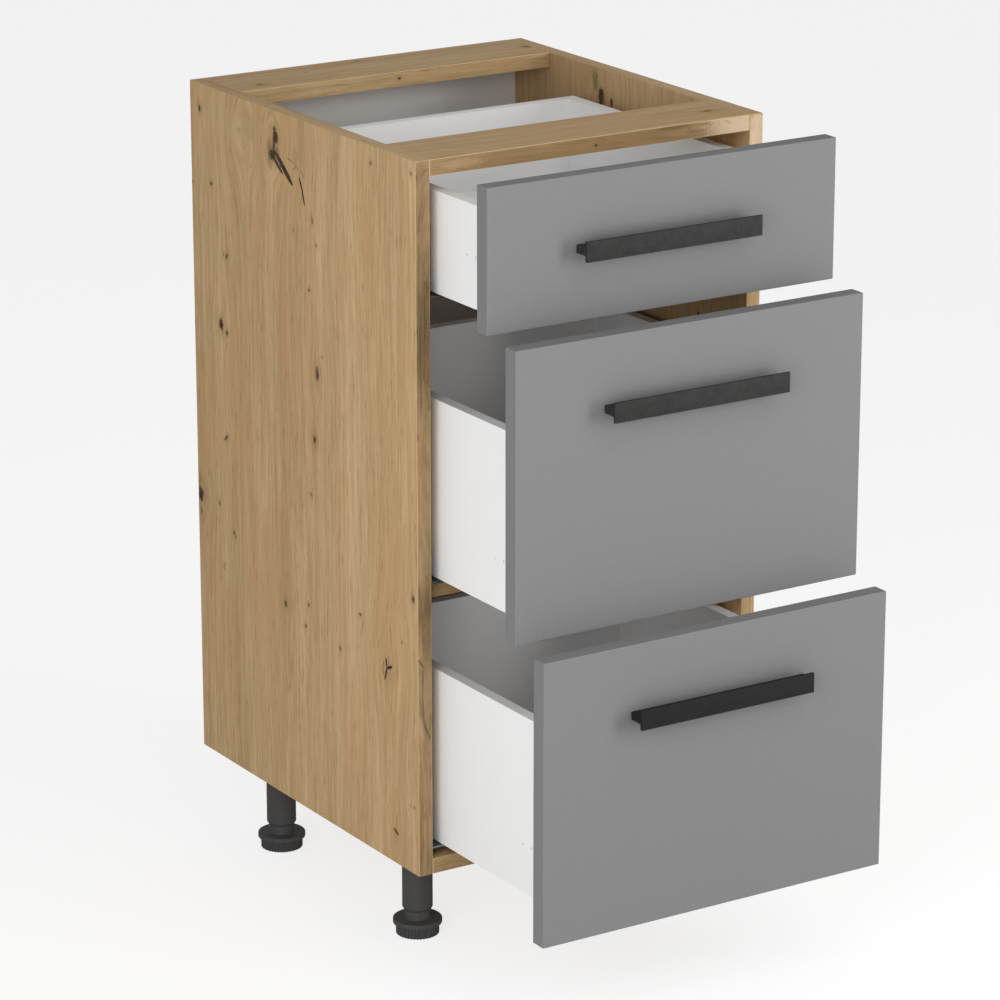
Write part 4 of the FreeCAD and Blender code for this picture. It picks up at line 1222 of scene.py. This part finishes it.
@dataclass
class BarHandle:
    """A bar handle of T section: a plate to pull on and the web that carries it."""
    drawer: str
    plate: float = 0.003
    web: float = 0.008
    corner: float = 0.0006
    root: float = 0.0012
    seat: float = 0.0002
    end_bevel: float = 0.0005

    def build(self, coat: bpy.types.Material) -> None:
        """Makes the handle from the T outline, carried along the bar.

        Args:
            coat: Its finish.
        """
        low, high = (np.array(corner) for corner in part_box(f"handle_{self.drawer}"))
        middle = (low[2] + high[2]) / 2
        inner = low[1] + self.plate
        half_web = self.web / 2
        corners = np.array([
            (low[1], high[2]), (low[1], low[2]), (inner, low[2]), (inner, middle - half_web),
            (high[1], middle - half_web), (high[1], middle + half_web), (inner, middle + half_web),
            (inner, high[2])])
        radii = np.array([self.corner, self.corner, self.corner, self.root,
                          self.seat, self.seat, self.root, self.corner])
        outline = filleted(corners, radii, 5)
        piece = surface_object(f"bar_handle_{self.drawer}",
                               *carried_points(outline, low[0], high[0], self.end_bevel, 4))
        turn_out(piece, coat, f"{self.drawer}_drawer", f"handle_{self.drawer}")


# A fastener's side that is found from its place: its head looks to the cabinet's middle.
TO_MIDDLE = 0


def loose_boxes(node: str) -> list[np.ndarray]:
    """Boxes of the separate solids of a CAD node.

    Each point takes the lowest number among the points that it is joined to, over and over, until no
    number changes. Points in the same place count as one.

    Args:
        node: The CAD node.

    Returns:
        The lowest and the highest corner of each solid.
    """
    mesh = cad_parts[node].data
    points = mesh_points(mesh)
    same = np.unique(np.round(points, 6), axis=0, return_inverse=True)[1].ravel()
    edges = np.empty(len(mesh.edges) * 2, dtype=np.int32)
    mesh.edges.foreach_get("vertices", edges)
    edges = same[edges.reshape(-1, 2)]
    label, before = np.arange(same.max() + 1), None
    while before is None or (label != before).any():
        before = label.copy()
        lowest = label[edges].min(axis=1)
        np.minimum.at(label, edges[:, 0], lowest)
        np.minimum.at(label, edges[:, 1], lowest)
        label = label[label]
    owner = label[same]
    return [np.array([points[owner == one].min(axis=0), points[owner == one].max(axis=0)])
            for one in np.unique(owner)]


@dataclass(frozen=True)
class Fastener:
    """A turned steel fastener: a head, with or without a cross recess, and perhaps a shank.

    Sizes are in metres. The arm is half the cross's length, and the slot half an arm's width.
    """
    head_height: float = 0.0
    shank_radius: float = 0.0
    arm: float = 0.0
    slot: float = 0.0
    depth: float = 0.0
    proud: float = 0.0
    crown: float = 0.0
    edge: float = 0.0004
    soft: float = 0.0003
    rows: int = 12
    columns: int = 48

    def surface(self, radius: float, length: float) -> tuple[np.ndarray, np.ndarray]:
        """The fastener about the Z axis, its top at zero and its tip below.

        The outline of radius and height, from the top's middle over the rim and down the shank, is
        carried round the axis. A point of the top whose smaller distance from the X and the Y axis is
        under the slot, and whose larger one is under the arm, is sunk by the recess's depth.

        Args:
            radius: Radius of the head.
            length: Length of the whole fastener.

        Returns:
            The points and the faces.
        """
        rim = (radius, -self.crown)
        if self.shank_radius:
            under = [(radius, -self.head_height), (self.shank_radius, -self.head_height),
                     (self.shank_radius, -length), (0, -length)]
            radii = np.array([0, self.edge, self.edge / 2, 0.0001, self.edge, 0])
        else:
            under = [(radius, -length), (0, -length)]
            radii = np.array([0, self.edge, self.edge, 0])
        outline = filleted(np.array([(0, 0), rim, *under]), radii, 4, closed=False)
        top = np.linspace(0, 1, self.rows, endpoint=False)[:, None] * outline[1]
        profile = np.concatenate([top, outline[1:]])
        angles = np.linspace(0, 2 * np.pi, self.columns, endpoint=False)
        points, faces = turned_points(profile, angles)
        if self.arm:
            sunk = points[:self.rows * self.columns]
            sides = np.abs(sunk[:, :2])
            into = np.clip((self.slot - sides.min(axis=1)) / self.soft, 0, 1)
            into *= np.clip((self.arm - sides.max(axis=1)) / self.soft, 0, 1)
            sunk[:, 2] -= self.depth * into
        return points, np.array(faces)


CAM_DISC = Fastener(arm=0.0036, slot=0.0009, depth=0.0022, proud=0.0002)
CAM_BOLT = Fastener()
HANDLE_SCREW = Fastener(0.0025, 0.0020, 0.0022, 0.0006, 0.0012, crown=0.0004)
RAIL_SCREW = Fastener(0.0015, 0.00175, 0.0019, 0.0005, 0.0010, crown=0.0003)


@dataclass(frozen=True)
class FastenerSet:
    """The fasteners of one CAD node: for each axis, the shape and the side its head is on.

    The side is 1 or -1 along the axis, or towards the middle of the cabinet.
    """
    node: str
    name: str
    body: str
    shapes: dict[Axis, tuple[Fastener, int]]

    def build(self, steel: bpy.types.Material) -> None:
        """Makes one piece of all of them, each in the box of its CAD solid.

        Args:
            steel: Their finish.
        """
        points, faces, count = [], [], 0
        for box in loose_boxes(self.node):
            some, quads = self._placed(box)
            points.append(some)
            faces.append(quads + count)
            count += len(some)
        piece = surface_object(self.name, np.concatenate(points), np.concatenate(faces).tolist())
        turn_out(piece, steel, self.body, self.node)

    def _placed(self, box: np.ndarray) -> tuple[np.ndarray, np.ndarray]:
        """Turns one fastener along its box, whose other two sizes are equal.

        Args:
            box: The lowest and the highest corner.

        Returns:
            The points and the faces.
        """
        size, middle = box[1] - box[0], box.mean(axis=0)
        a = int(np.abs(np.roll(size, -1) - np.roll(size, -2)).argmin())
        shape, side = self.shapes[Axis(a)]
        if side == TO_MIDDLE:
            side = -int(np.sign(middle[a]))
        points, faces = shape.surface(size[(a + 1) % 3] / 2, size[a])
        turned = np.empty_like(points)
        turned[:, a] = points[:, 2] * side
        turned[:, (a + 1) % 3] = points[:, 0]
        turned[:, (a + 2) % 3] = points[:, 1] * side
        middle[a] = (box[1] if side > 0 else box[0])[a] + side * shape.proud
        return turned + middle, faces


@dataclass
class Drawer:
    """One drawer: its grey front, white box, handle and runners."""
    name: str
    handle: str = "handle"
    front_rounding: float = 0.0009

    def build(self, finishes: dict[str, bpy.types.Material]) -> None:
        """Makes the front and the handle, and finishes the CAD parts that stay.

        Args:
            finishes: The materials by their short names.
        """
        body = f"{self.name}_drawer"
        Board(f"drawer_front_{self.name}", f"front_panel_{self.name}", body, "grey_front", Axis.Z,
              Facing.FRONT, self.front_rounding, 4).build(finishes["grey"])
        BarHandle(self.name).build(finishes[self.handle])
        for side in ("left", "right"):
            dress(f"drawer_side_{self.name}_{side}", finishes["white"])
            dress(f"drawer_rail_{self.name}_{side}", finishes["zinc"])
            dress(f"cabinet_rail_{self.name}_{side}", finishes["zinc"])
        dress(f"drawer_back_{self.name}", finishes["white"])
        dress(f"drawer_dowels_{self.name}", finishes["beech"])
        dress(f"ball_cages_{self.name}", finishes["cage"])
        FastenerSet(f"handle_screws_{self.name}", f"handle_bolts_{self.name}", body,
                    {Axis.Y: (HANDLE_SCREW, 1)}).build(finishes["zinc"])
        FastenerSet(f"drawer_rail_screws_{self.name}", f"rail_screws_{self.name}", body,
                    {Axis.Y: (RAIL_SCREW, 1), Axis.Z: (RAIL_SCREW, -1)}).build(finishes["zinc"])
        node = f"drawer_bottom_{self.name}"
        thin = FacedBoardFinish(f"thin_bottom_{self.name}", Axis.Z, -1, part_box(node)[0][2] + COAT)
        dress(node, thin.material())


@dataclass
class Carcass:
    """The fixed body: two sides, the strips and the bottom between them, the back and the legs."""
    legs: tuple[str, ...] = ("front_left", "front_right", "back_left", "back_right")

    def build(self, finishes: dict[str, bpy.types.Material]) -> None:
        """Makes the boards and legs, and finishes the CAD parts that stay.

        Args:
            finishes: The materials by their short names.
        """
        boards = (
            ("side_panel_left", "side_board_left", Axis.Z, Facing.LEFT, "left", "side_edge"),
            ("side_panel_right", "side_board_right", Axis.Z, Facing.LEFT, "right", "right_edge"),
            ("top_rail_front", "top_strip_front", Axis.X, Facing.TOP, "top", "strip_edge"),
            ("top_rail_back", "top_strip_back", Axis.X, Facing.TOP, "top", "back_edge"),
            ("middle_rail", "middle_strip", Axis.X, Facing.TOP, "inner", "strip_edge"),
            ("bottom_panel", "bottom_board", Axis.X, Facing.TOP, "inner", "strip_edge"),
        )
        for node, name, grain, best, face, band in boards:
            board = Board(node, name, "carcass", "oak_board", grain, best)
            board.build(finishes[face], finishes[band])
        for leg in self.legs:
            Leg(leg).build(finishes["leg"])
        back = FacedBoardFinish("thin_back", Axis.Y, 1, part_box("back_panel")[1][1] - COAT)
        dress("back_panel", back.material())
        dress("carcass_dowels", finishes["beech"])
        FastenerSet("cam_fittings", "cam_locks", "carcass",
                    {Axis.Z: (CAM_DISC, -1), Axis.X: (CAM_BOLT, 1)}).build(finishes["zinc"])
        FastenerSet("cabinet_rail_screws", "side_screws", "carcass",
                    {Axis.X: (RAIL_SCREW, TO_MIDDLE)}).build(finishes["zinc"])


@dataclass(frozen=True)
class SoftLight:
    """A rectangular light: degrees right of straight in front and above the aim, then metres and watts."""
    name: str
    azimuth: float
    elevation: float
    far: float
    wide: float
    tall: float
    power: float


@dataclass
class Studio:
    """The pale floor, the soft lights and the camera."""
    lights: tuple[SoftLight, ...] = (
        SoftLight("key_right", azimuth=41.0, elevation=12.0, far=2.2, wide=0.70, tall=1.60, power=26.4),
        SoftLight("key_left", azimuth=-53.0, elevation=12.0, far=1.8, wide=1.10, tall=1.40, power=17.2),
        SoftLight("high_fill", azimuth=8.0, elevation=58.0, far=2.0, wide=1.0, tall=0.8, power=4.6),
    )
    camera_place: tuple[float, float, float] = (-2.2731, -3.5153, 1.7397)
    camera_turn: tuple[float, float, float] = (72.610, 0.0, -32.402)
    lens: float = 157.4
    sensor: float = 36.0
    ambient: float = 0.40
    floor_half: float = 14.0
    floor_white: float = 0.80
    floor_seen: float = 0.30
    floor_glow: float = 0.76
    aim: tuple[float, float, float] = (0.0, -0.1, 0.45)

    def build(self) -> None:
        """Makes the floor, the world, the lights and the camera."""
        self._floor()
        self._world()
        for light in self.lights:
            self._light(light)
        self._camera()

    def _floor(self) -> None:
        """A wide flat floor at the feet, which looks nearly white and keeps a soft shadow."""
        half = self.floor_half
        mesh = bpy.data.meshes.new("floor")
        corners = [(-half, -half, 0), (half, -half, 0), (half, half, 0), (-half, half, 0)]
        mesh.from_pydata(corners, [], [(0, 1, 2, 3)])
        floor = bpy.data.objects.new("floor", mesh)
        bpy.context.collection.objects.link(floor)
        material, w, shader = new_material("pale_floor")
        shader.inputs["Base Color"].default_value = (*[self.floor_white] * 3, 1.0)
        shader.inputs["Roughness"].default_value = 1.0
        shader.inputs["Specular IOR Level"].default_value = 0.0
        dim = w.node("ShaderNodeBsdfDiffuse", {"Color": (*[self.floor_seen] * 3, 1.0)})
        glow = w.node("ShaderNodeEmission", {"Color": WHITE, "Strength": self.floor_glow})
        seen = w.node("ShaderNodeAddShader", {0: dim.outputs[0], 1: glow.outputs[0]})
        camera_ray = w.node("ShaderNodeLightPath").outputs["Is Camera Ray"]
        both = w.node("ShaderNodeMixShader", {0: camera_ray, 1: shader.outputs[0], 2: seen.outputs[0]})
        w.put(w.tree.nodes["Material Output"].inputs["Surface"], both.outputs[0])
        mesh.materials.append(material)

    def _world(self) -> None:
        """Even light from all round, and white where the camera sees past the floor."""
        world = bpy.data.worlds.new("studio")
        world.use_nodes = True
        world.node_tree.nodes.clear()
        w = Wiring(world.node_tree)
        soft = w.node("ShaderNodeBackground", {"Color": WHITE, "Strength": self.ambient})
        white = w.node("ShaderNodeBackground", {"Color": WHITE, "Strength": 1.0})
        camera_ray = w.node("ShaderNodeLightPath").outputs["Is Camera Ray"]
        both = w.node("ShaderNodeMixShader", {0: camera_ray, 1: soft.outputs[0], 2: white.outputs[0]})
        w.node("ShaderNodeOutputWorld", {"Surface": both.outputs[0]})
        bpy.context.scene.world = world

    def _light(self, kind: SoftLight) -> None:
        """Adds a soft light that looks at the cabinet.

        Args:
            kind: The light.
        """
        data = bpy.data.lights.new(kind.name, "AREA")
        data.shape = "RECTANGLE"
        data.size, data.size_y, data.energy = kind.wide, kind.tall, kind.power
        light = bpy.data.objects.new(kind.name, data)
        bpy.context.collection.objects.link(light)
        side, up = math.radians(kind.azimuth), math.radians(kind.elevation)
        way = np.array([math.sin(side) * math.cos(up), -math.cos(side) * math.cos(up), math.sin(up)])
        light.location = np.array(self.aim) + way * kind.far
        light.rotation_euler = (math.pi / 2 - up, 0.0, side)
        light.visible_camera = False

    def _camera(self) -> None:
        """Stands the camera where the photograph was taken from."""
        data = bpy.data.cameras.new("camera")
        data.lens, data.sensor_width, data.clip_end = self.lens, self.sensor, 60.0
        camera = bpy.data.objects.new("camera", data)
        camera.location = self.camera_place
        camera.rotation_euler = [math.radians(angle) for angle in self.camera_turn]
        bpy.context.collection.objects.link(camera)
        bpy.context.scene.camera = camera
        bpy.context.scene.view_settings.view_transform = "Standard"


def make_finishes() -> dict[str, bpy.types.Material]:
    """Builds each shared finish once.

    Returns:
        The materials by their short names.
    """
    made = {"left": LEFT_SIDE, "right": RIGHT_SIDE, "side_edge": SIDE_EDGE, "right_edge": RIGHT_EDGE,
            "top": TOP_STRIPS, "strip_edge": STRIP_EDGE, "back_edge": BACK_EDGE, "inner": INNER_BOARDS,
            "grey": GREY_COAT, "white": WHITE_COAT, "handle": HANDLE_COAT,
            "low_handle": BOTTOM_HANDLE_SHADED_COAT, "leg": LEG_PLASTIC, "cage": CAGE_PLASTIC,
            "beech": BEECH, "zinc": ZincFinish()}
    return {name: finish.material() for name, finish in made.items()}


def main() -> None:
    """Builds the sub-assemblies in order."""
    logging.basicConfig(level=logging.INFO, format="%(message)s")
    finishes = make_finishes()
    Carcass().build(finishes)
    # The bottom drawer's handle takes the darker copy of the handle coat, which is painted shade.
    for drawer in (Drawer("top"), Drawer("middle"), Drawer("bottom", handle="low_handle")):
        drawer.build(finishes)
    Studio().build()


if __name__ == "__main__":
    main()
